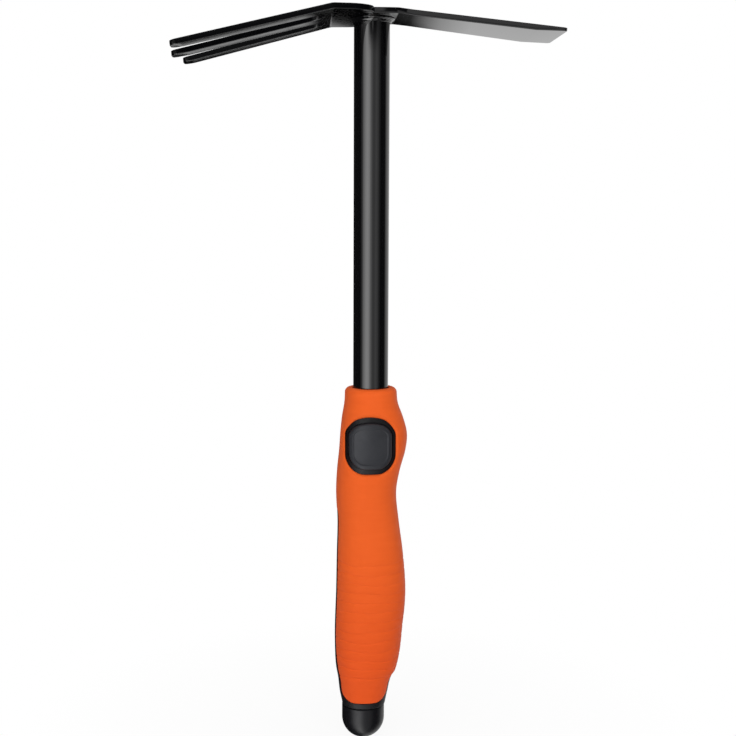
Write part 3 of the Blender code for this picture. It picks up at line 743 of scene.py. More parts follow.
@dataclass(frozen=True)
class Camera:
    """The photograph's viewpoint: seen square on, from a little left and from above the handle."""

    azimuth: float = -3.0
    elevation: float = 7.2
    roll: float = 0.2
    distance: float = 680.0 * MM
    focal_pixels: float = 1250.0
    frame_pixels: float = 736.0
    sensor: float = 36.0
    near: float = 10.0 * MM
    aim: Triple = (2.13 * MM, 0.0, 208.6 * MM)

    def build(self) -> None:
        """Add the camera and make it the scene's own."""
        back = bearing(self.azimuth, self.elevation)
        Bench.clear()
        bpy.ops.object.camera_add(location=Vector(self.aim) + back * self.distance)
        camera = bpy.context.active_object
        camera.name = "photo_camera"
        roll = Matrix.Rotation(math.radians(self.roll), 3, "Z").to_quaternion()
        camera.rotation_euler = (back.to_track_quat("Z", "Y") @ roll).to_euler()
        camera.data.sensor_width = self.sensor
        camera.data.lens = self.focal_pixels / self.frame_pixels * self.sensor
        camera.data.clip_start = self.near
        bpy.context.scene.camera = camera


@dataclass(frozen=True)
class Softbox:
    """A rectangular lamp that faces the tool."""

    name: str
    azimuth: float
    elevation: float
    distance: float
    width: float
    height: float
    power: float

    def build(self, aim: Vector) -> None:
        """Hang the lamp.

        Args:
            aim: The point that it faces.
        """
        back = bearing(self.azimuth, self.elevation)
        Bench.clear()
        bpy.ops.object.light_add(type="AREA", location=aim + back * self.distance)
        lamp = bpy.context.active_object
        lamp.name = self.name
        lamp.rotation_euler = back.to_track_quat("Z", "Y").to_euler()
        lamp.data.shape = "RECTANGLE"
        lamp.data.size, lamp.data.size_y = self.width, self.height
        lamp.data.energy = self.power
        lamp.visible_camera = lamp.visible_glossy = False


@dataclass(frozen=True)
class Limit:
    """A soft limit of a card: one range of an axis mapped smoothly onto a range of strength."""

    axis: Axis
    start: Point
    end: Point


@dataclass(frozen=True)
class Studio:
    """A pale floor, a white surround, soft lamps, and bright and dark cards that only gloss sees.

    The cards all round the tool are rows of azimuth in degrees and strength.
    """

    floor_radius: float = 3.0
    floor_sides: int = 128
    floor_clear: float = 0.05 * MM
    floor_white: float = 0.9
    floor_roughness: float = 0.9
    floor_fade: Point = (0.02, 0.2)
    floor_glow: Point = (0.93, 1.0)
    surround: float = 0.31
    aim: Triple = (0.0, 0.0, 0.22)
    lamps: tuple[Softbox, ...] = (
        Softbox("key_softbox", -20.0, 16.0, 1.3, 0.7, 1.3, 6.2),
        Softbox("fill_softbox", 18.0, 16.0, 1.3, 0.7, 1.3, 4.8),
        Softbox("top_softbox", -10.0, 72.0, 1.2, 0.8, 0.5, 3.6),
    )
    low_cards: tuple[Point, ...] = (
        (-180.0, 0.02), (-78.0, 0.04), (-66.0, 0.5), (-50.0, 2.9), (-38.0, 4.3), (-28.0, 4.8), (-18.0, 4.2),
        (-5.0, 1.9), (6.0, 0.9), (14.0, 0.75), (28.0, 1.0), (40.0, 0.7), (50.0, 0.25), (62.0, 0.04),
        (92.0, 0.05), (112.0, 1.0), (175.5, 0.88), (176.2, 0.05), (180.0, 0.02),
    )
    high_cards: tuple[Point, ...] = (
        (-180.0, 0.02), (-78.0, 0.04), (-66.0, 0.5), (-50.0, 2.9), (-38.0, 4.2), (-30.0, 4.0), (-22.0, 1.6),
        (-14.0, 0.25), (-6.0, 0.06), (20.0, 0.05), (34.0, 0.3), (48.0, 0.2), (62.0, 0.04), (92.0, 0.05),
        (112.0, 1.0), (180.0, 1.0),
    )
    high_start: Point = (0.118, 0.142)
    card_limits: tuple[Limit, ...] = (
        Limit(Axis.Z, (0.15, 0.19), (1.0, 0.06)),
        Limit(Axis.Y, (0.9854, 0.9874), (1.0, 0.012)),
    )
    # The tilted axis is Z less this share of X, so that the blade's card leans.
    tilt: float = 0.25
    blade_card: tuple[Limit, ...] = (
        Limit(Axis.TILTED, (-0.1492, -0.1472), (0.0, 0.52)),
        Limit(Axis.Y, (0.95, 0.98), (0.0, 1.0)),
        Limit(Axis.X, (0.066, 0.082), (1.0, 0.0)),
        Limit(Axis.TILTED, (-0.1392, -0.1376), (1.0, 0.0)),
    )
    edge_card: tuple[Limit, ...] = (
        Limit(Axis.Z, (0.134, 0.144), (0.0, 0.85)),
        Limit(Axis.Z, (0.24, 0.28), (1.0, 0.0)),
        Limit(Axis.X, (-0.06, -0.03), (0.0, 1.0)),
        Limit(Axis.X, (0.095, 0.115), (1.0, 0.0)),
        Limit(Axis.Y, (-0.95, -0.9), (1.0, 0.0)),
    )
    lid_card: tuple[Limit, ...] = (Limit(Axis.Z, (0.35, 0.9), (0.0, 0.8)),)

    def build(self) -> None:
        """Set the world, lay the floor and hang the lamps."""
        bpy.context.scene.view_settings.view_transform = "Standard"
        self.world()
        self.floor()
        for lamp in self.lamps:
            lamp.build(Vector(self.aim))

    def world(self) -> None:
        """White where the camera and glass look, cards where gloss looks, a soft surround for the rest."""
        world = bpy.data.worlds.new("white_surround")
        bpy.context.scene.world = world
        world.use_nodes = True
        world.node_tree.nodes.clear()
        nodes = Wiring(world.node_tree)
        path = nodes.node("LightPath")
        soft, cards, white = (
            nodes.node("Background", {"Color": (1, 1, 1, 1), "Strength": strength}).outputs[0]
            for strength in (self.surround, self.cards_seen(nodes), 1.0)
        )
        seen = nodes.mixed(path.outputs["Is Glossy Ray"], soft, cards)
        rays = path.outputs["Is Camera Ray"], path.outputs["Is Transmission Ray"]
        both = nodes.mixed(nodes.sum_up(Sum.MAXIMUM, *rays), seen, white)
        nodes.node("OutputWorld", {"Surface": both})

    def cards_seen(self, nodes: Wiring) -> Socket:
        """What gloss sees all round the tool: soft cards in front, and the white backdrop on the right.

        Args:
            nodes: The world's nodes.

        Returns:
            The strength by direction.
        """
        place = nodes.node("TexCoord").outputs["Generated"]
        parts = nodes.node("SeparateXYZ", {0: place}).outputs
        axes = {axis: parts[axis.value] for axis in (Axis.X, Axis.Y, Axis.Z)}
        slope = nodes.sum_up(Sum.MULTIPLY, axes[Axis.X], self.tilt)
        axes[Axis.TILTED] = nodes.sum_up(Sum.SUBTRACT, axes[Axis.Z], slope)
        front = nodes.sum_up(Sum.MULTIPLY, axes[Axis.Y], -1.0)
        azimuth = nodes.sum_up(Sum.ANGLE, axes[Axis.X], front)
        share = nodes.ranged(azimuth, (-math.pi, math.pi), ease=Ease.STRAIGHT)
        rise = nodes.ranged(axes[Axis.Z], self.high_start)
        low = nodes.sum_up(
            Sum.MULTIPLY, self.ramp(nodes, share, self.low_cards), nodes.sum_up(Sum.SUBTRACT, 1.0, rise)
        )
        high = nodes.sum_up(Sum.MULTIPLY, self.ramp(nodes, share, self.high_cards), rise)
        cards = self.limited(nodes, axes, self.card_limits, nodes.sum_up(Sum.ADD, low, high))
        for card in (self.blade_card, self.edge_card, self.lid_card):
            cards = nodes.sum_up(Sum.MAXIMUM, cards, self.limited(nodes, axes, card))
        return cards

    @staticmethod
    def limited(
        nodes: Wiring, axes: dict[Axis, Socket], limits: Sequence[Limit], light: Socket | None = None
    ) -> Socket:
        """A light multiplied by soft limits, or the limits alone.

        Args:
            nodes: The world's nodes.
            axes: The direction's place along each axis.
            limits: The limits.
            light: What is limited, where it isn't white.

        Returns:
            The strength by direction.
        """
        for limit in limits:
            factor = nodes.ranged(axes[limit.axis], limit.start, limit.end)
            light = factor if light is None else nodes.sum_up(Sum.MULTIPLY, light, factor)
        return light

    @staticmethod
    def ramp(nodes: Wiring, share: Socket, cards: Sequence[Point]) -> Socket:
        """The strength of one row of cards.

        Args:
            nodes: The world's nodes.
            share: The direction's azimuth as a share of the full turn.
            cards: Azimuth and strength of each stop.

        Returns:
            The strength by direction.
        """
        node = nodes.node("ValToRGB", {"Fac": share})
        node.color_ramp.interpolation = "EASE"
        peak = max(strength for _, strength in cards)
        stops = node.color_ramp.elements
        stops.remove(stops[0])
        for i, (azimuth, strength) in enumerate(cards):
            position = (azimuth + TURN / 2) / TURN
            stop = stops[0] if i == 0 else stops.new(position)
            stop.position = position
            stop.color = (strength / peak,) * 3 + (1,)
        return nodes.sum_up(Sum.MULTIPLY, node.outputs["Color"], peak)

    def floor(self) -> None:
        """A round pale floor that keeps the tool's shadow and fades into the white around it."""
        Bench.clear()
        bpy.ops.mesh.primitive_circle_add(
            vertices=self.floor_sides,
            radius=self.floor_radius,
            fill_type="NGON",
            location=(0, 0, -self.floor_clear),
        )
        floor = Bench.adopt("studio_floor")
        paint = Sketch(
            "pale_floor",
            Base_Color=(*[self.floor_white] * 3, 1),
            Roughness=self.floor_roughness,
            Specular_IOR_Level=0.0,
        )
        distance = paint.node("VectorMath", {0: paint.place}, operation="LENGTH").outputs["Value"]
        fade = paint.ranged(distance, self.floor_fade, self.floor_glow, Ease.STRAIGHT)
        path = paint.node("LightPath").outputs
        seen = paint.sum_up(Sum.MAXIMUM, path["Is Camera Ray"], path["Is Glossy Ray"])
        factor = paint.sum_up(Sum.MULTIPLY, seen, fade)
        glow = paint.node("Emission").outputs[0]
        mix = paint.mixed(factor, paint.shader.outputs[0], glow)
        paint.fill(paint.tree.nodes["Material Output"].inputs["Surface"], mix)
        floor.data.materials.append(paint.material)
        floor.visible_glossy = False


@dataclass(frozen=True)
class HandleForm:
    """The handle's outside: sections up its height, in millimetres.

    Each section is its height, then how far it reaches left, right, front and back of the shaft's axis.
    The strips are where the core shows along both edges, between the panels.
    """

    sections: tuple[tuple[float, ...], ...] = (
        (19.0, 15.3, 8.5, 11.8, 11.8),
        (27.5, 17.0, 10.3, 12.8, 12.8),
        (34.0, 17.7, 11.7, 13.7, 13.6),
        (41.5, 19.0, 15.1, 14.8, 15.0),
        (50.0, 19.5, 16.9, 15.5, 16.2),
        (63.0, 19.6, 18.2, 16.3, 17.6),
        (84.0, 18.9, 19.8, 16.8, 18.2),
        (106.0, 18.5, 18.2, 16.2, 17.6),
        (124.0, 18.1, 15.8, 15.6, 17.2),
        (140.0, 18.8, 14.3, 15.8, 17.6),
        (152.0, 18.3, 16.1, 16.5, 18.4),
        (164.0, 17.1, 19.3, 17.0, 18.8),
        (173.0, 16.5, 20.0, 16.8, 18.2),
        (182.0, 15.6, 17.7, 15.4, 16.6),
        (190.0, 14.3, 14.8, 14.2, 14.6),
        (198.2, 14.0, 14.1, 14.0, 14.0),
    )
    power: float = 2.2
    skin_limit: float = 0.999
    strip_left_top: float = 131.0 * MM
    strip_right_top: float = 40.0 * MM
    strip_show: float = 0.42 * MM
    strip_foot_show: float = 1.15 * MM
    strip_foot: Point = (34.0 * MM, 58.0 * MM)
    strip_end: float = 4.0 * MM
    strip_steps: tuple[float, ...] = (-1.0, -0.75, -0.5, -0.3, -0.15, -0.05, 0.0)
    panel_bottom: float = 22.7 * MM
    panel_corner: float = 5.5 * MM
    part_gap: float = 0.15 * MM
    side_screw: Point = (-9.8 * MM, 147.0 * MM)
    middle_screws: tuple[float, ...] = (109.25 * MM, 78.75 * MM, 48.25 * MM)

    def reach(self, height: float) -> list[float]:
        """How far the handle reaches at a height, on a smooth curve through the sections.

        Args:
            height: The height up the handle.

        Returns:
            The reach to the left, right, front and back of the shaft's axis.
        """
        rows = self.sections
        height_mm = min(max(height / MM, rows[0][0]), rows[-1][0])
        i = max(k for k in range(len(rows) - 1) if rows[k][0] <= height_mm)
        before, low, high, after = (rows[min(max(k, 0), len(rows) - 1)] for k in range(i - 1, i + 3))
        span = high[0] - low[0]
        t = (height_mm - low[0]) / span
        weights = (2 * t**3 - 3 * t**2 + 1, t**3 - 2 * t**2 + t, 3 * t**2 - 2 * t**3, t**3 - t**2)
        reach = []
        for side in range(1, len(low)):
            out = (high[side] - before[side]) / (high[0] - before[0]) * span
            into = (after[side] - low[side]) / (after[0] - low[0]) * span
            values = (low[side], out, high[side], into)
            reach.append(sum(w * v for w, v in zip(weights, values)) * MM)
        return reach

    def point(self, height: float, angle: float, inset: float = 0.0) -> Vector:
        """A point on the section at a height.

        Args:
            height: The height up the handle.
            angle: How far round from the right, in radians.
            inset: How far it lies in from the outside.

        Returns:
            The point.
        """
        left, right, front, back = self.reach(height)
        half_x, half_y = (left + right) / 2 - inset, (front + back) / 2 - inset
        c, s = math.cos(angle), math.sin(angle)
        x = AXIS_X + (right - left) / 2 + half_x * math.copysign(abs(c) ** (2 / self.power), c)
        y = (back - front) / 2 + half_y * math.copysign(abs(s) ** (2 / self.power), s)
        return Vector((x, y, height))

    def skin_y(self, x: float, height: float, side: Side) -> float:
        """Y of the outside at a place.

        Args:
            x: The place in X.
            height: The height up the handle.
            side: Whether it is in front or behind.

        Returns:
            The place in Y.
        """
        left, right, front, back = self.reach(height)
        share = abs((x - AXIS_X - (right - left) / 2) / ((left + right) / 2))
        share = min(share, self.skin_limit) ** self.power
        return (back - front) / 2 + side.value * (front + back) / 2 * (1 - share) ** (1 / self.power)

    def edge_angle(self, height: float, on_left: bool) -> float:
        """How far round from the handle's edge a panel stops, leaving the core in sight.

        Args:
            height: The height up the handle.
            on_left: Whether it is the left edge or the right one.

        Returns:
            The angle in radians, never less than the parting gap's.
        """
        left, right, front, back = self.reach(height)
        half_x, half_y = (left + right) / 2, (front + back) / 2
        top = self.strip_left_top if on_left else self.strip_right_top
        low, high = self.strip_foot
        share = min(max((height - low) / (high - low), 0.0), 1.0)
        share = share * share * (3 - 2 * share)
        show = self.strip_foot_show + (self.strip_show - self.strip_foot_show) * share
        if height >= top:
            show = 0.0
        elif height > top - self.strip_end:
            show *= 1 - ((height - top + self.strip_end) / self.strip_end) ** 2
        rise = (height - self.panel_bottom) / self.panel_corner
        if rise < 1:
            show += self.panel_corner * (1 - math.sqrt(max(1 - (1 - max(rise, 0.0)) ** 2, 0.0)))
        angle = math.acos((1 - show / half_x) ** (self.power / 2))
        return max(angle, math.asin((self.part_gap / half_y) ** (self.power / 2)))

    def corner_heights(self, degrees: Sequence[float]) -> list[float]:
        """Heights in the panels' lower corners, by how far round they are."""
        return [self.panel_bottom + self.panel_corner * (1 - c) for c, _ in turns(degrees)]

    def strip_heights(self, *past: float) -> list[float]:
        """Heights where the strips run out, and more past their ends as shares of the run-out."""
        tops = (self.strip_left_top, self.strip_right_top)
        return [top + self.strip_end * share for top in tops for share in (*self.strip_steps, *past)]


@dataclass
class PushButton:
    """The crowned release button and its outline, which also shapes its window."""

    centre_x: float = -0.6 * MM
    centre_z: float = 168.1 * MM
    width: float = 23.4 * MM
    height: float = 24.8 * MM
    face: float = 17.9 * MM
    crown_radius: float = 19.0 * MM
    top_curve: float = 19.0 * MM
    top_corner: float = 5.5 * MM
    bottom_corner: float = 8.5 * MM
    corner_points: int = 12
    top_points: int = 12
    thickness: float = 4.6 * MM
    back_scales: tuple[float, ...] = (0.02, 0.3, 0.6, 0.9, 1.0)
    edge_round: float = 0.8 * MM
    edge_degrees: tuple[float, ...] = (0, 18, 36, 54, 72, 90)
    rim: float = 2.0 * MM
    rim_fall: float = 0.15 * MM
    rim_lift: float = 0.15 * MM
    rim_rings: int = 4
    rim_slope: float = 1.0 * MM
    slope_rings: int = 6
    face_sink: float = 0.5 * MM
    dish: float = 1.0 * MM
    face_rings: int = 12
    # A little over face_rings, so that the last ring keeps a size.
    face_span: float = 12.2
    face_least: float = 0.02
    crease: float = 50.0

    def outline(self, grow: float, rise: float = 0.0) -> Loop:
        """The outline in X and Z about the shaft's axis.

        Args:
            grow: How much it is grown all round.
            rise: How much taller it is then made at the top and the bottom.

        Returns:
            The outline's points.
        """
        half_width, half_height = self.width / 2 + grow, self.height / 2 + grow + rise
        top, bottom = self.top_corner + grow, self.bottom_corner + grow
        flat, low = half_width - top, half_width - bottom
        n = self.corner_points
        loop = arc((flat, half_height - top), top, 0, 90, n)
        loop += [(flat * (1 - 2 * i / self.top_points), half_height) for i in range(1, self.top_points)]
        loop += arc((-flat, half_height - top), top, 90, 180, n)
        loop += arc((-low, bottom - half_height), bottom, 180, 270, n)
        loop += arc((low, bottom - half_height), bottom, 270, 360, n)
        curved = []
        for x, z in loop:
            sag = max(z, 0) / half_height * x**2 / (2 * self.top_curve)
            curved.append((self.centre_x + x, self.centre_z + z - sag))
        return curved

    def ring(self, grow: float, radius: float, scale: float = 1.0) -> list[Vector]:
        """The outline laid on a crown.

        Args:
            grow: How much the outline is grown.
            radius: The crown's radius.
            scale: How far the outline is drawn in towards its middle.

        Returns:
            The ring's points.
        """
        axis_y = self.crown_radius - self.face
        ring = []
        for x, z in self.outline(grow):
            x = self.centre_x + (x - self.centre_x) * scale
            z = self.centre_z + (z - self.centre_z) * scale
            ring.append(Vector((AXIS_X + x, axis_y - math.sqrt(radius**2 - (x - self.centre_x) ** 2), z)))
        return ring

    def window(self, name: str, grow: float, rise: float, back: float) -> Piece:
        """A cutter of the grown outline, from in front of the handle back to a depth."""
        outline = [Vector((AXIS_X + x, -PAST, z)) for x, z in self.outline(grow, rise)]
        return Bench.slab(name, outline, Vector((0, back + PAST, 0)))

    def build(self, finishes: Finishes) -> list[Piece]:
        """Make the button: a raised rim with a rolled outer edge round a dished face.

        Args:
            finishes: The tool's finishes.

        Returns:
            The button.
        """
        crown, edge = self.crown_radius, self.edge_round
        rings = [self.ring(0, crown - self.thickness, scale) for scale in self.back_scales]
        outer = crown - self.rim_fall
        rings += [self.ring(-edge * (1 - c), outer - edge * (1 - s)) for c, s in turns(self.edge_degrees)]
        n = self.rim_rings
        for i in range(1, n + 1):
            rings.append(self.ring(-edge - (self.rim - edge) * i / n, outer + self.rim_lift * i / n))
        lip = outer + self.rim_lift
        face = crown - self.face_sink
        n = self.slope_rings
        for i in range(1, n + 1):
            share = (1 - math.cos(math.pi * i / n)) / 2
            rings.append(self.ring(-self.rim - self.rim_slope * i / n, lip + (face - lip) * share))
        for i in range(1, self.face_rings + 1):
            share = 1 - i / self.face_span
            radius = face - self.dish * (1 - share**2)
            rings.append(self.ring(-self.rim - self.rim_slope, radius, max(share, self.face_least)))
        button = Bench.ring_form("push_button", rings)
        Bench.smooth(button, self.crease)
        return [finish_piece(button, finishes.grey, Body.BUTTON, "release_button")]


@dataclass
class SoftGrip:
    """The two soft panels: grooved below, turned in at the rim, with rolled edges along the core's strips."""

    form: HandleForm
    button: PushButton
    screws: list[CaseScrew]
    top: float = 198.2 * MM
    wall: float = 2.0 * MM
    rim_round: float = 2.6 * MM
    rim_rings: int = 8
    rim_lip: float = 1.4 * MM
    lip_round: float = 0.5 * MM
    bore: float = 9.8 * MM
    fine_points: int = 160
    slack: float = 1e-12
    span_points: int = 66
    step: float = 2.2 * MM
    crowded_mm: float = 0.02
    digits_mm: int = 4
    corner_degrees: tuple[float, ...] = (32, 42, 52, 62, 72, 82, 90)
    strip_past: float = 0.03
    edge_roll: float = 0.75 * MM
    seam_roll: float = 0.22 * MM
    seam_start: float = 1.0 * MM
    roll_steps: tuple[float, ...] = (0.0, 0.04, 0.12, 0.24, 0.4, 0.6, 0.82, 1.0, 1.3)
    roll_limit: float = 0.2
    probe: float = 0.1 * MM
    window_margin: float = 1.9 * MM
    window_rise: float = 1.2 * MM
    window_back: float = -2.0 * MM
    window_roll: Point = (2.3 * MM, 1.3 * MM)
    window_degrees: tuple[float, ...] = (0, 12, 24, 36, 48, 58, 66, 72)
    window_over: float = 1.05
    window_clear: float = 0.3 * MM
    groove_low: float = 37.5 * MM
    groove_pitch: float = 5.4 * MM
    groove_count: int = 13
    groove_depth: float = 0.16 * MM
    groove_half: float = 0.8 * MM
    groove_steps: tuple[float, ...] = (-1, -0.66, -0.33, 0, 0.33, 0.66, 1)
    groove_wave: float = 0.6 * MM
    # Each wave's share, how many times it runs round the handle, and its pitch up it.
    groove_waves: tuple[Triple, ...] = ((1.0, 2.0, 7 * MM), (0.5, 5.0, 3 * MM))
    groove_fade: float = 4.0 * MM
    crease: float = 40.0

    def grooves(self) -> list[float]:
        """The heights of the grooves."""
        return [self.groove_low + self.groove_pitch * i for i in range(self.groove_count)]

    def levels(self) -> list[Triple]:
        """The rings up a panel, close together where the form turns.

        Returns:
            Each ring's height, its inset and how much it waves.
        """
        grooves = self.grooves()
        heights = {}
        for centre in grooves:
            for share in self.groove_steps:
                depth = self.groove_depth * math.cos(share * math.pi / 2) ** 2
                height = round((centre + share * self.groove_half) / MM, self.digits_mm)
                heights[height] = (depth, 1.0)
        low, high = self.form.panel_bottom, self.top - self.rim_round
        close = [low + self.edge_roll * share for share in self.roll_steps]
        close += self.form.corner_heights(self.corner_degrees) + self.form.strip_heights(self.strip_past)
        count = round((high - low) / self.step)
        for height in close + [low + (high - low) * i / count for i in range(1, count + 1)]:
            height = round(height / MM, self.digits_mm)
            gap = min(abs(height * MM - other) for other in grooves)
            nearest = min(abs(height - other) for other in heights)
            if gap > self.groove_half and nearest > self.crowded_mm:
                heights[height] = (0.0, 1.0 if grooves[0] < height * MM < grooves[-1] else 0.0)
        rings = [(h * MM, *heights[h]) for h in sorted(heights)]
        for c, s in turns([90 * i / self.rim_rings for i in range(1, self.rim_rings + 1)]):
            rings.append((high + self.rim_round * s, self.rim_round * (1 - c), 0.0))
        return rings

    def roll(self, distance: float, radius: float) -> float:
        """How far a rolled edge lies below the surface.

        Args:
            distance: How far in from the edge.
            radius: The roll's radius.

        Returns:
            The depth.
        """
        if distance >= radius:
            return 0.0
        return radius - math.sqrt(radius**2 - (radius - distance) ** 2)

    def edge_rolls(self, height: float) -> list[Point]:
        """How a panel's two edges roll over.

        Args:
            height: The ring's height.

        Returns:
            For the left and the right edge, the roll's radius, and the way straight in from the edge
            as a share of the way along the ring, which is longer where the edge runs aslant.
        """
        form = self.form
        left, right, _, _ = form.reach(height)
        rolls = []
        for on_left, top, reach in (
            (True, form.strip_left_top, left), (False, form.strip_right_top, right)
        ):
            radius = self.edge_roll if height < top - self.seam_start else self.seam_roll
            change = form.edge_angle(height + self.probe, on_left) - form.edge_angle(height, on_left)
            rolls.append((radius, math.cos(math.atan(change * reach / self.probe))))
        return rolls

    def places(self, length: float, rolls: list[Point]) -> list[float]:
        """Where a ring's points stand along a panel's outside, close together at both edges.

        Args:
            length: The way from edge to edge.
            rolls: What edge_rolls gives.

        Returns:
            Each point's way from the left edge.
        """
        limit = length * self.roll_limit
        starts, ends = (
            [min(share * radius / slope, limit) for share in self.roll_steps] for radius, slope in rolls
        )
        low, high = starts[-1], length - ends[-1]
        middle = [low + (high - low) * i / self.span_points for i in range(1, self.span_points)]
        return starts + middle + [length - distance for distance in ends[::-1]]

    def ring(self, side: Side, height: float, inset: float, waves: float) -> list[Vector]:
        """One closed ring of a panel: along its outside from left to right, and back along its inside.

        Args:
            side: The front or the rear panel.
            height: The ring's height.
            inset: How far the whole outside is set in there.
            waves: How much of the grooves' waviness the ring takes.

        Returns:
            The ring's points.
        """
        form, count = self.form, self.fine_points
        start = math.pi - form.edge_angle(height, True)
        end = form.edge_angle(height, False)
        angles = [side.value * (start + (end - start) * i / count) for i in range(count + 1)]
        outside = [form.point(height, angle, inset) for angle in angles]
        run = [0.0]
        for one, other in zip(outside, outside[1:]):
            run.append(run[-1] + (other - one).length)
        rolls = self.edge_rolls(height)
        (left_radius, left_slope), (right_radius, right_slope) = rolls
        above = height - form.panel_bottom
        outer, inner = [], []
        for place in self.places(run[-1], rolls):
            i = min(max(k for k in range(len(run)) if run[k] <= place + self.slack), count - 1)
            share = (place - run[i]) / (run[i + 1] - run[i])
            angle = angles[i] + (angles[i + 1] - angles[i]) * share
            below = max(
                self.roll(place * left_slope, left_radius),
                self.roll((run[-1] - place) * right_slope, right_radius),
                self.roll(above, self.edge_roll),
            )
            wave = sum(part * math.sin(n * angle + height / pitch) for part, n, pitch in self.groove_waves)
            fade = min(place, run[-1] - place) / self.groove_fade
            lift = waves * self.groove_wave * wave * min(fade, 1.0)
            outer.append(form.point(height, angle, inset + below) + Vector((0, 0, lift)))
            inner.append(self.inside(height, angle, side))
        return outer + inner[::-1]

    def inside(self, height: float, angle: float, side: Side) -> Vector:
        """A point on the panel's inner wall, or on the neck's bore where the rim turns in.

        Args:
            height: The point's height.
            angle: How far round it is.
            side: The front or the rear panel.

        Returns:
            The point.
        """
        wall = self.form.point(height, angle, self.wall)
        if height <= self.top - self.rim_lip:
            return wall
        out = Vector((wall.x - AXIS_X, wall.y, 0)).normalized()
        radius = self.bore + self.roll(self.top - height, self.lip_round)
        y = max(abs(out.y * radius), self.form.part_gap) * side.value
        return Vector((AXIS_X + out.x * radius, y, height))

    def window_tool(self) -> Piece:
        """A cutter for the button's window that rolls the panel's edge over into it.

        Returns:
            The cutter.
        """
        wide, deep = self.window_roll
        outer = self.button.outline(self.window_margin, self.window_rise)
        rings = [[Vector((AXIS_X + x, self.window_back, z)) for x, z in outer]]
        for c, s in turns(self.window_degrees):
            loop = self.button.outline(self.window_margin + wide * (1 - c), self.window_rise)
            rings.append([self.on_skin(x, z, deep * (1 - s)) for x, z in loop])
        loop = self.button.outline(self.window_margin + wide * self.window_over, self.window_rise)
        rings.append([self.on_skin(x, z, -self.window_clear) for x, z in loop])
        rings.append([Vector((AXIS_X + x, -PAST, z)) for x, z in loop])
        return Bench.ring_form("window_tool", rings)

    def on_skin(self, x: float, height: float, depth: float) -> Vector:
        """A point in front of the handle at a depth below its outside."""
        return Vector((AXIS_X + x, self.form.skin_y(AXIS_X + x, height, Side.FRONT) + depth, height))

    def build(self, finishes: Finishes) -> list[Piece]:
        """Make both panels, then cut the button's window in front and the screws' holes behind.

        Args:
            finishes: The tool's finishes.

        Returns:
            The front and the rear panel.
        """
        levels = self.levels()
        front, rear = (
            Bench.ring_form(name, [self.ring(side, *level) for level in levels])
            for side, name in ((Side.FRONT, "grip_panel_front"), (Side.REAR, "grip_panel_rear"))
        )
        Bench.combine(front, self.window_tool())
        for screw in self.screws:
            Bench.combine(rear, screw.hole())
        for panel, node in ((front, "grip_front"), (rear, "grip_rear")):
            Bench.smooth(panel, self.crease)
            finish_piece(panel, finishes.rubber, Body.HANDLE, node)
        return [front, rear]


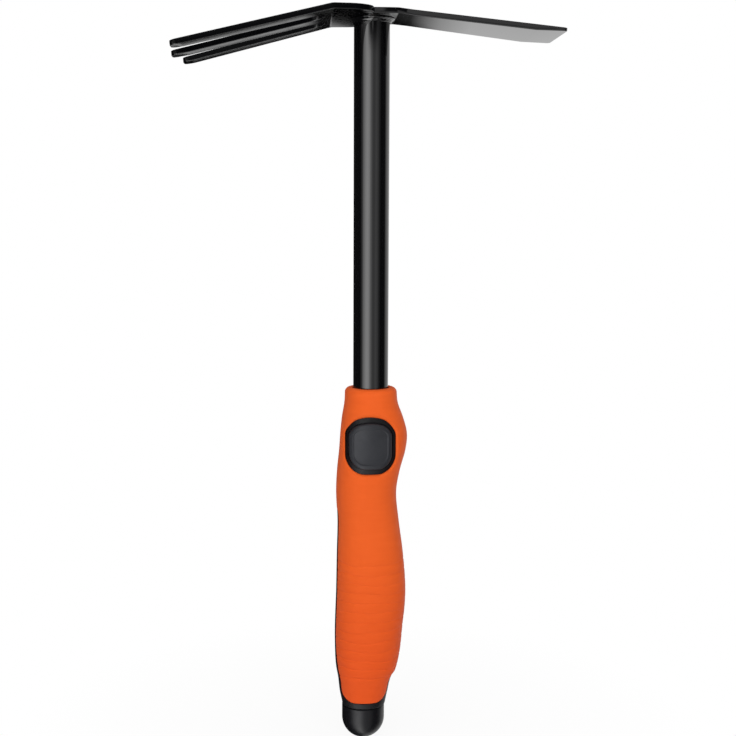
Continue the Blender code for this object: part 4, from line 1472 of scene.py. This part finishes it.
@dataclass
class HardCore:
    """The core's two shells: foot and edge strips flush with the panels, collar, bay, neck and socket."""

    form: HandleForm
    button: PushButton
    screws: list[CaseScrew]
    low: float = 19.3 * MM
    top: float = 196.5 * MM
    flush: float = 0.12 * MM
    under: float = 2.15 * MM
    strip_gap: float = 0.12 * MM
    strip_least: float = 0.03
    angle_least: float = 0.004
    ledge: float = 0.15 * MM
    ledge_step: float = 0.01 * MM
    foot_round: float = 0.5 * MM
    foot_degrees: tuple[float, ...] = (0, 30, 60, 90)
    foot_ring: float = 1.5 * MM
    corner_degrees: tuple[float, ...] = tuple(range(8, 91, 8))
    step: float = 3.0 * MM
    top_clear: float = 1.0 * MM
    hollow: float = 4.3 * MM
    bay_low: float = 150.0 * MM
    bay_high: float = 183.0 * MM
    bay_rings: int = 14
    overlap: float = 1.0 * MM
    bore: float = 9.8 * MM
    bore_past: float = 5.0 * MM
    socket_half: float = 6.8 * MM
    socket_low: float = 127.5 * MM
    button_gap: float = 0.4 * MM
    collar_inset: float = 1.35 * MM
    collar_margin: float = 1.75 * MM
    collar_rise: float = 1.2 * MM
    collar_back: float = -4.2 * MM
    collar_past: float = 6.0 * MM
    collar_rings: int = 20
    slot: Point = (8.8 * MM, 10.3 * MM)
    slot_half: float = 4.3 * MM
    slot_depth: float = 6.8 * MM
    strip_points: int = 14
    span_points: int = 44
    facets: int = 96
    part_half: float = 0.05 * MM
    half_reach: Point = (-10.0 * MM, 300.0 * MM)
    crease: float = 35.0

    def ring(self, height: float, flush_all: bool, more: float = 0.0) -> list[Vector]:
        """One ring of the core's outside, flush in the strips and set in under the panels.

        Args:
            height: The ring's height.
            flush_all: Whether the whole ring is in sight, as at the foot.
            more: An extra inset all round.

        Returns:
            The ring's points.
        """
        form = self.form
        left_edge, right_edge = form.edge_angle(height, True), form.edge_angle(height, False)
        left_reach, right_reach, _, _ = form.reach(height)
        left = max(left_edge - self.strip_gap / left_reach, self.angle_least)
        right = max(right_edge - self.strip_gap / right_reach, self.angle_least)
        spans = (
            (-right, right, self.strip_points, right_edge > self.strip_least),
            (right, math.pi - left, self.span_points, False),
            (math.pi - left, math.pi + left, self.strip_points, left_edge > self.strip_least),
            (math.pi + left, math.tau - right, self.span_points, False),
        )
        ring = []
        for start, end, count, in_sight in spans:
            inset = (self.flush if flush_all or in_sight else self.under) + more
            ring += [form.point(height, start + (end - start) * i / count, inset) for i in range(count + 1)]
        return ring

    def outside(self) -> Piece:
        """The core's whole outside as one closed form.

        Returns:
            The solid core.
        """
        form, edge = self.form, self.foot_round
        foot = turns(self.foot_degrees)
        rings = [self.ring(self.low + edge * (1 - c), True, edge * (1 - s)) for c, s in foot]
        ledge = form.panel_bottom - self.ledge
        rings += [self.ring(height, True) for height in (self.low + self.foot_ring, ledge)]
        start = ledge + self.ledge_step
        heights = [start, *form.corner_heights(self.corner_degrees), *form.strip_heights()]
        count = round((self.top - start) / self.step)
        heights += [form.panel_bottom + form.panel_corner + self.step * i for i in range(1, count)]
        for height in sorted(h for h in heights if h < self.top - self.top_clear) + [self.top]:
            rings.append(self.ring(height, False))
        return Bench.ring_form("core", rings)

    def sections(self, low: float, high: float, count: int, inset: float) -> Rings:
        """Rings of the handle's whole section.

        Args:
            low: The lowest ring's height.
            high: The highest ring's height.
            count: How many steps lie between them.
            inset: How far they lie in from the outside.

        Returns:
            The rings.
        """
        angles = [math.tau * i / self.facets for i in range(self.facets)]
        heights = [low + (high - low) * i / count for i in range(count + 1)]
        return [[self.form.point(z, a, inset) for a in angles] for z in heights]

    def hollow_out(self, core: Piece) -> None:
        """Cut the button's bay, the shaft's neck, the spigot's socket and the latch's slot.

        Args:
            core: The solid core.
        """
        low, high = self.bay_low, self.bay_high
        half, slot_half, over = self.socket_half, self.slot_half, low + self.overlap
        neck_ends = (high - self.overlap, self.top + self.bore_past)
        neck_low, neck_high = (Vector((AXIS_X, 0, z)) for z in neck_ends)
        tools = (
            Bench.ring_form("bay", self.sections(low, high, self.bay_rings, self.hollow)),
            Bench.rod("neck", self.bore, neck_low, neck_high, self.facets),
            Bench.block("socket", (AXIS_X - half, -half, self.socket_low), (AXIS_X + half, half, over)),
            Bench.block(
                "slot",
                (AXIS_X - slot_half, self.slot[0], low - self.slot_depth),
                (AXIS_X + slot_half, self.slot[1], over),
            ),
        )
        for tool in tools:
            Bench.combine(core, tool)

    def add_collar(self, core: Piece) -> None:
        """Raise the collar round the button, and open the window in it.

        Args:
            core: The hollow core.
        """
        low, high = self.bay_low - self.collar_past, self.bay_high + self.collar_past
        rings = self.sections(low, high, self.collar_rings, self.collar_inset)
        collar = Bench.ring_form("collar", rings)
        edge = self.button.window("edge", self.collar_margin, self.collar_rise, self.collar_back)
        Bench.combine(collar, edge, Join.CROSS)
        Bench.combine(core, collar, Join.ADD)
        Bench.combine(core, self.button.window("gap", self.button_gap, 0.0, self.collar_back))

    def half(self, core: Piece, side: Side, name: str) -> Piece:
        """One of the two shells that the core is parted into.

        Args:
            core: The whole core, which is kept.
            side: The front or the rear shell.
            name: The shell's name.

        Returns:
            The shell.
        """
        shell = core.copy()
        shell.data = core.data.copy()
        bpy.context.collection.objects.link(shell)
        shell.name = shell.data.name = name
        near, far = sorted((side.value * self.part_half, side.value * PAST))
        low, high = self.half_reach
        Bench.combine(shell, Bench.block("half", (-PAST, near, low), (PAST, far, high)), Join.CROSS)
        return shell

    def build(self, finishes: Finishes) -> list[Piece]:
        """Hollow the core for the button, the shaft and the spigot, and part it into two shells.

        Args:
            finishes: The tool's finishes.

        Returns:
            The front and the rear shell.
        """
        core = self.outside()
        self.hollow_out(core)
        self.add_collar(core)
        front = self.half(core, Side.FRONT, "core_shell_front")
        rear = self.half(core, Side.REAR, "core_shell_rear")
        bpy.data.objects.remove(core, do_unlink=True)
        for screw in self.screws:
            Bench.combine(rear, screw.hole())
        for shell, node in ((front, "core_front"), (rear, "core_rear")):
            Bench.smooth(shell, self.crease)
            finish_piece(shell, finishes.core, Body.HANDLE, node)
        return [front, rear]


@dataclass
class CaseScrew:
    """One pan-head screw with a hexagon socket, driven in from behind."""

    number: int
    form: HandleForm
    place_x: float
    place_z: float
    radius: float = 1.5 * MM
    tip_share: float = 0.4
    tip_length: float = 1.5 * MM
    head_radius: float = 2.8 * MM
    head_height: float = 2.0 * MM
    head_round: float = 0.7 * MM
    head_edge: float = 0.15 * MM
    head_points: int = 6
    socket_radius: float = 1.2 * MM
    socket_depth: float = 1.1 * MM
    socket_sides: int = 6
    socket_past: float = 1.0 * MM
    length: float = 18.0 * MM
    sink: float = 4.6 * MM
    clear: float = 0.3 * MM
    seat_clear: float = 0.1 * MM
    mouth: float = 0.5 * MM
    mouth_steps: tuple[Point, ...] = ((0.35, -0.3), (1.4, 0.6))
    hole_past: float = 20.0 * MM
    steps: int = 48
    crease: float = 35.0

    def seat(self) -> float:
        """Y of the plane that the head sits on."""
        return self.form.skin_y(AXIS_X + self.place_x, self.place_z, Side.REAR) - self.sink

    def hole(self) -> Piece:
        """A cutter for the head's recess, with a slightly flared mouth.

        Returns:
            The cutter.
        """
        seat, mouth = self.seat(), self.mouth
        skin = seat + self.sink
        wide = self.head_radius + self.clear
        bottom, top = seat - self.seat_clear, skin + self.hole_past
        profile = [(0.0, bottom), (wide, bottom), (wide, skin - mouth)]
        profile += [(wide + mouth * out, skin + mouth * up) for out, up in self.mouth_steps]
        profile += [(profile[-1][0], top), (0.0, top)]
        hole = Bench.turned("recess", profile, 0.0, self.steps)
        self.stand(hole)
        return hole

    def stand(self, piece: Piece) -> None:
        """Turn a piece made along Z to lie along Y, at the screw's place."""
        place = Matrix.Translation((AXIS_X + self.place_x, 0, self.place_z))
        piece.data.transform(place @ Matrix.Rotation(math.radians(-90), 4, "X"))

    def build(self, finishes: Finishes) -> list[Piece]:
        """Turn the screw and cut its socket.

        Args:
            finishes: The tool's finishes.

        Returns:
            The screw.
        """
        seat = self.seat()
        top, tip, corner = seat + self.head_height, seat - self.length, self.head_round
        wide, edge = self.head_radius, self.head_edge
        profile = [(0.0, tip), (self.radius * self.tip_share, tip), (self.radius, tip + self.tip_length)]
        profile += [(self.radius, seat), (wide - edge, seat), (wide, seat + edge)]
        profile += arc((wide - corner, top - corner), corner, 0, 90, self.head_points)
        profile.append((0.0, top))
        screw = Bench.turned(f"pan_screw_{self.number}", profile, 0.0, self.steps)
        low, high = (Vector((0, 0, z)) for z in (top - self.socket_depth, top + self.socket_past))
        Bench.combine(screw, Bench.rod("socket", self.socket_radius, low, high, self.socket_sides))
        self.stand(screw)
        Bench.smooth(screw, self.crease)
        node = f"case_screw_{self.number}"
        return [finish_piece(screw, finishes.zinc, Body.HANDLE, node)]


def case_screws(form: HandleForm) -> list[CaseScrew]:
    """The four screws: one beside the socket, and three on the grip's centre line.

    Args:
        form: The handle's outside.

    Returns:
        The screws, from the top down.
    """
    screws = [CaseScrew(1, form, *form.side_screw)]
    for number, height in enumerate(form.middle_screws, start=2):
        left, right, _, _ = form.reach(height)
        screws.append(CaseScrew(number, form, (right - left) / 2, height))
    return screws


@dataclass
class EndCap:
    """The domed plug at the handle's foot."""

    centre_x: float = 0.0
    height: float = 19.0 * MM
    radius: float = 11.8 * MM
    foot_radius: float = 2.6 * MM
    dome_points: int = 24
    bore_radius: float = 8.6 * MM
    bore_depth: float = 11.0 * MM
    edge_round: float = 0.5 * MM
    edge_points: int = 5
    steps: int = 96
    crease: float = 32.0

    def build(self, finishes: Finishes) -> list[Piece]:
        """Turn the cap's profile.

        Args:
            finishes: The tool's finishes.

        Returns:
            The cap.
        """
        floor, edge = self.height - self.bore_depth, self.edge_round
        start = math.acos(self.foot_radius / self.radius)
        sink = self.radius * math.sin(start)
        profile = [(0.0, floor), (self.bore_radius, floor), (self.bore_radius, self.height)]
        profile += arc((self.radius - edge, self.height - edge), edge, 90, 0, self.edge_points)
        for i in range(self.dome_points + 1):
            a = start * i / self.dome_points
            profile.append((self.radius * math.cos(a), sink - self.radius * math.sin(a)))
        profile.append((0.0, 0.0))
        cap = Bench.turned("domed_cap", profile, self.centre_x, self.steps)
        Bench.smooth(cap, self.crease)
        return [finish_piece(cap, finishes.cap, Body.HANDLE, "end_cap")]


@dataclass
class Shaft:
    """The steel tube and the weld that holds the head on it."""

    low: float = 184.8 * MM
    top: float = 393.3 * MM
    radius: float = 9.5 * MM
    wall: float = 1.5 * MM
    chamfer: float = 0.4 * MM
    rivet_height: float = 191.5 * MM
    rivet_hole: float = 2.3 * MM
    weld_size: float = 2.2 * MM
    weld_hollow: float = 0.75
    weld_points: int = 8
    weld_clear: float = 0.3 * MM
    weld_crease: float = 50.0
    bead_count: int = 26
    bead_depth: float = 0.12 * MM
    steps: int = 128
    crease: float = 32.0

    def build(self, finishes: Finishes) -> list[Piece]:
        """Turn the tube and the weld.

        Args:
            finishes: The tool's finishes.

        Returns:
            The tube and the weld.
        """
        bore, edge = self.radius - self.wall, self.chamfer
        profile = [
            (self.radius, self.top), (self.radius, self.low + edge), (self.radius - edge, self.low),
            (bore + edge, self.low), (bore, self.low + edge), (bore, self.top),
        ]
        tube = Bench.turned("shaft", profile, AXIS_X, self.steps)
        left, right = (Vector((x, 0, self.rivet_height)) for x in (-PAST, PAST))
        Bench.combine(tube, Bench.rod("hole", self.rivet_hole, left, right), solver=Solver.EXACT)
        Bench.smooth(tube, self.crease)
        return [
            finish_piece(tube, finishes.coat, Body.HEAD, "shaft_tube"),
            finish_piece(self.weld(), finishes.coat, Body.HEAD, "head_weld"),
        ]

    def weld(self) -> Piece:
        """The fillet of weld under the plate, with the ripples of its beads.

        Returns:
            The weld.
        """
        inner, size = self.radius + self.weld_clear, self.weld_size
        profile = [(inner, self.top), (inner + size, self.top)]
        for i in range(1, self.weld_points):
            a = math.pi / 2 * i / self.weld_points
            out = size * (1 - self.weld_hollow * math.sin(a))
            down = size * (1 - self.weld_hollow * math.cos(a))
            profile.append((inner + out, self.top - down))
        profile.append((inner, self.top - size))
        weld = Bench.turned("weld_bead", profile, AXIS_X, self.steps * 2)
        for vertex in weld.data.vertices:
            out = Vector((vertex.co.x - AXIS_X, vertex.co.y))
            drop = self.top - vertex.co.z
            if out.length > inner + MERGE and drop > MERGE:
                turn = math.atan2(out.y, out.x) * self.bead_count / math.tau + drop / size
                vertex.co.z += self.bead_depth * abs(math.sin(math.pi * turn))
        Bench.smooth(weld, self.weld_crease)
        return weld


@dataclass
class HoeHead:
    """One stamped plate: a ground blade on one side and three bevelled tines on the other."""

    plate_low: float = 393.6 * MM
    thickness: float = 3.0 * MM
    hub_half: float = 20.0 * MM
    tine_width: float = 12.4 * MM
    tine_draft: float = 0.4 * MM
    root_offset: float = 27.5 * MM
    tip_offset: float = 35.6 * MM
    outer_reach: float = 104.3 * MM
    middle_reach: float = 107.2 * MM
    gullet_x: float = 25.0 * MM
    gullet_degrees: Point = (285, 450)
    gullet_points: int = 22
    shoulder: float = 15.0 * MM
    shoulder_points: int = 12
    tip_round: float = 3.6 * MM
    tip_points: int = 8
    tip_bevel: float = 6.0 * MM
    tip_thickness: float = 2.6 * MM
    tine_droop: float = 14.1
    tine_bend_x: float = -20.0 * MM
    blade_reach: float = 99.5 * MM
    blade_root_half: float = 19.0 * MM
    blade_half: float = 24.0 * MM
    blade_corner: float = 2.4 * MM
    corner_degrees: Point = (360, 280)
    corner_points: int = 6
    blade_droop: float = 6.5
    blade_bend_x: float = 12.0 * MM
    blade_edge: float = 1.7 * MM
    blade_grind: float = 16.0 * MM
    bend_radius: float = 8.0 * MM
    bend_facets: int = 8
    edge_round: float = 0.3 * MM
    edge_segments: int = 3
    edge_degrees: float = 50.0
    crease: float = 40.0

    def tine_offset(self, x: float) -> float:
        """How far the outer tine's centre line is from the middle at a distance along the plate."""
        share = (x - self.gullet_x) / (self.outer_reach - self.gullet_x)
        return self.root_offset + (self.tip_offset - self.root_offset) * share

    def outline(self, inset: float = 0.0) -> Loop:
        """The flat plate's outline: one side from the cutting edge to the middle tine, then its mirror.

        Args:
            inset: How far the tines' edges are drawn in, as on the face that the press rounds over.

        Returns:
            The outline's corners in X and Y about the shaft's axis.
        """
        half, r, corner = self.tine_width / 2, self.tip_round, self.blade_corner
        centre = (self.blade_reach - corner, corner - self.blade_half)
        side = arc(centre, corner, *self.corner_degrees, self.corner_points)
        side += [(self.blade_bend_x + self.bend_radius, -self.blade_root_half)]
        side += [(self.blade_bend_x - self.bend_radius / 2, -self.hub_half)]
        rise = self.tine_offset(self.shoulder) + half - inset - self.hub_half
        n = self.shoulder_points
        for c, s in turns([90 - 90 * i / n for i in range(n + 1)]):
            side.append((-self.shoulder * (1 - s), -self.hub_half - rise * c))
        tip, offset, rounding = r - self.outer_reach, self.tip_offset, r - inset
        n = self.tip_points
        side += arc((tip, r - half - offset), rounding, 270, 180, n)
        side += arc((tip, half - r - offset), rounding, 180, 90, n)
        gap = (self.tine_offset(self.gullet_x) - 2 * half) / 2
        centre = (-self.gullet_x - gap, -half - gap)
        side += arc(centre, gap + inset, *self.gullet_degrees, self.gullet_points)
        side += arc((r - self.middle_reach, r - half), rounding, 270, 180, n)
        mirrored = [(x, -y) for x, y in side[::-1]]
        return side + mirrored

    def plate(self) -> Piece:
        """Stamp the flat plate, and draw in the tines' edges on its upper face.

        Returns:
            The plate.
        """
        outline = [Vector((AXIS_X + x, y, self.plate_low)) for x, y in self.outline()]
        drafted = [Vector((AXIS_X + x, y)) for x, y in self.outline(self.tine_draft)]
        plate = Bench.slab("tine_and_blade_head", outline, Vector((0, 0, self.thickness)))
        for vertex in plate.data.vertices:
            if vertex.co.z > self.plate_low + self.thickness / 2:
                nearest = min(range(len(outline)), key=lambda i: (outline[i].xy - vertex.co.xy).length)
                vertex.co.xy = drafted[nearest]
        return plate

    def grind(self, plate: Piece, grind_start: float, bevel_start: float) -> None:
        """Grind the blade's edge and bevel the tines' tips from below.

        Args:
            plate: The flat plate.
            grind_start: Where the blade's grind starts, about the shaft's axis.
            bevel_start: Where the tips' bevels start.
        """
        for vertex in plate.data.vertices:
            ground = (vertex.co.x - AXIS_X - grind_start) / self.blade_grind
            bevelled = (bevel_start - vertex.co.x + AXIS_X) / self.tip_bevel
            if vertex.co.z > self.plate_low + self.thickness / 2:
                continue
            if ground > 0:
                vertex.co.z += ground * (self.thickness - self.blade_edge)
            if bevelled > 0:
                vertex.co.z += min(bevelled, 1.0) * (self.thickness - self.tip_thickness)

    def bend(self, plate: Piece, bend_x: float, degrees: float, direction: int) -> None:
        """Turn everything beyond a bend line down by an angle, over the bend radius.

        Args:
            plate: The plate.
            bend_x: Where the bend starts, about the shaft's axis.
            degrees: The angle.
            direction: The side it is on, by the sign of X.
        """
        droop = math.radians(degrees)
        length = self.bend_radius * droop
        for vertex in plate.data.vertices:
            beyond = direction * (vertex.co.x - AXIS_X - bend_x)
            if beyond <= 0:
                continue
            turn = min(beyond / length, 1.0) * droop
            radius = self.bend_radius + vertex.co.z - self.plate_low
            straight = max(beyond - length, 0.0)
            across = radius * math.sin(turn) + straight * math.cos(droop)
            drop = self.bend_radius - radius * math.cos(turn) + straight * math.sin(droop)
            vertex.co.x = AXIS_X + bend_x + direction * across
            vertex.co.z = self.plate_low - drop

    def build(self, finishes: Finishes) -> list[Piece]:
        """Stamp the plate, grind its edge, bevel its tips and bend both arms down.

        Args:
            finishes: The tool's finishes.

        Returns:
            The head.
        """
        head = self.plate()
        grind_start = self.blade_reach - self.blade_grind
        bevel_start = self.tip_bevel - self.outer_reach
        bends = ((self.tine_bend_x, self.tine_droop, -1), (self.blade_bend_x, self.blade_droop, 1))
        cuts = [grind_start, bevel_start]
        for bend_x, degrees, direction in bends:
            length = self.bend_radius * math.radians(degrees)
            cuts += [bend_x + direction * length * i / self.bend_facets for i in range(self.bend_facets + 1)]
        for x in cuts:
            Bench.edit(head)
            bpy.ops.mesh.bisect(plane_co=(AXIS_X + x, 0, 0), plane_no=(1, 0, 0), threshold=MERGE)
        Bench.clear()
        self.grind(head, grind_start, bevel_start)
        for bend_x, degrees, direction in bends:
            self.bend(head, bend_x, degrees, direction)
        Bench.soften(head, self.edge_round, self.edge_segments, self.edge_degrees)
        Bench.smooth(head, self.crease)
        Bench.flatten(head)
        return [finish_piece(head, finishes.coat, Body.HEAD, "hoe_head")]


def dress_nodes(frame: dict, finishes: Finishes) -> None:
    """Give the CAD nodes that stay in sight their own finishes.

    Args:
        frame: The loaded frame.
        finishes: The tool's finishes.
    """
    dressed = {
        "release_yoke": finishes.nylon,
        "shaft_spigot": finishes.nylon,
        "latch_leaf": finishes.spring,
        "spigot_rivet": finishes.zinc,
    }
    for name, material in dressed.items():
        mesh = frame["nodes"][name].data
        mesh.materials.clear()
        mesh.materials.append(material)
        LOG.info("%s keeps its CAD shape, in %s", name, material.name)


def main() -> None:
    """Build the camera, the studio and every piece of the tool in order, and report each piece."""
    logging.basicConfig(level=logging.INFO, format="%(message)s")
    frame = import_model()
    Camera().build()
    Studio().build()
    finishes = Finishes()
    form, button = HandleForm(), PushButton()
    screws = case_screws(form)
    shells = SoftGrip(form, button, screws), HardCore(form, button, screws)
    for assembly in (*shells, *screws, button, EndCap(), Shaft(), HoeHead()):
        for piece in assembly.build(finishes):
            LOG.info("%s: %d faces, in %s", piece.name, len(piece.data.polygons), piece.active_material.name)
    dress_nodes(frame, finishes)


if __name__ == "__main__":
    main()
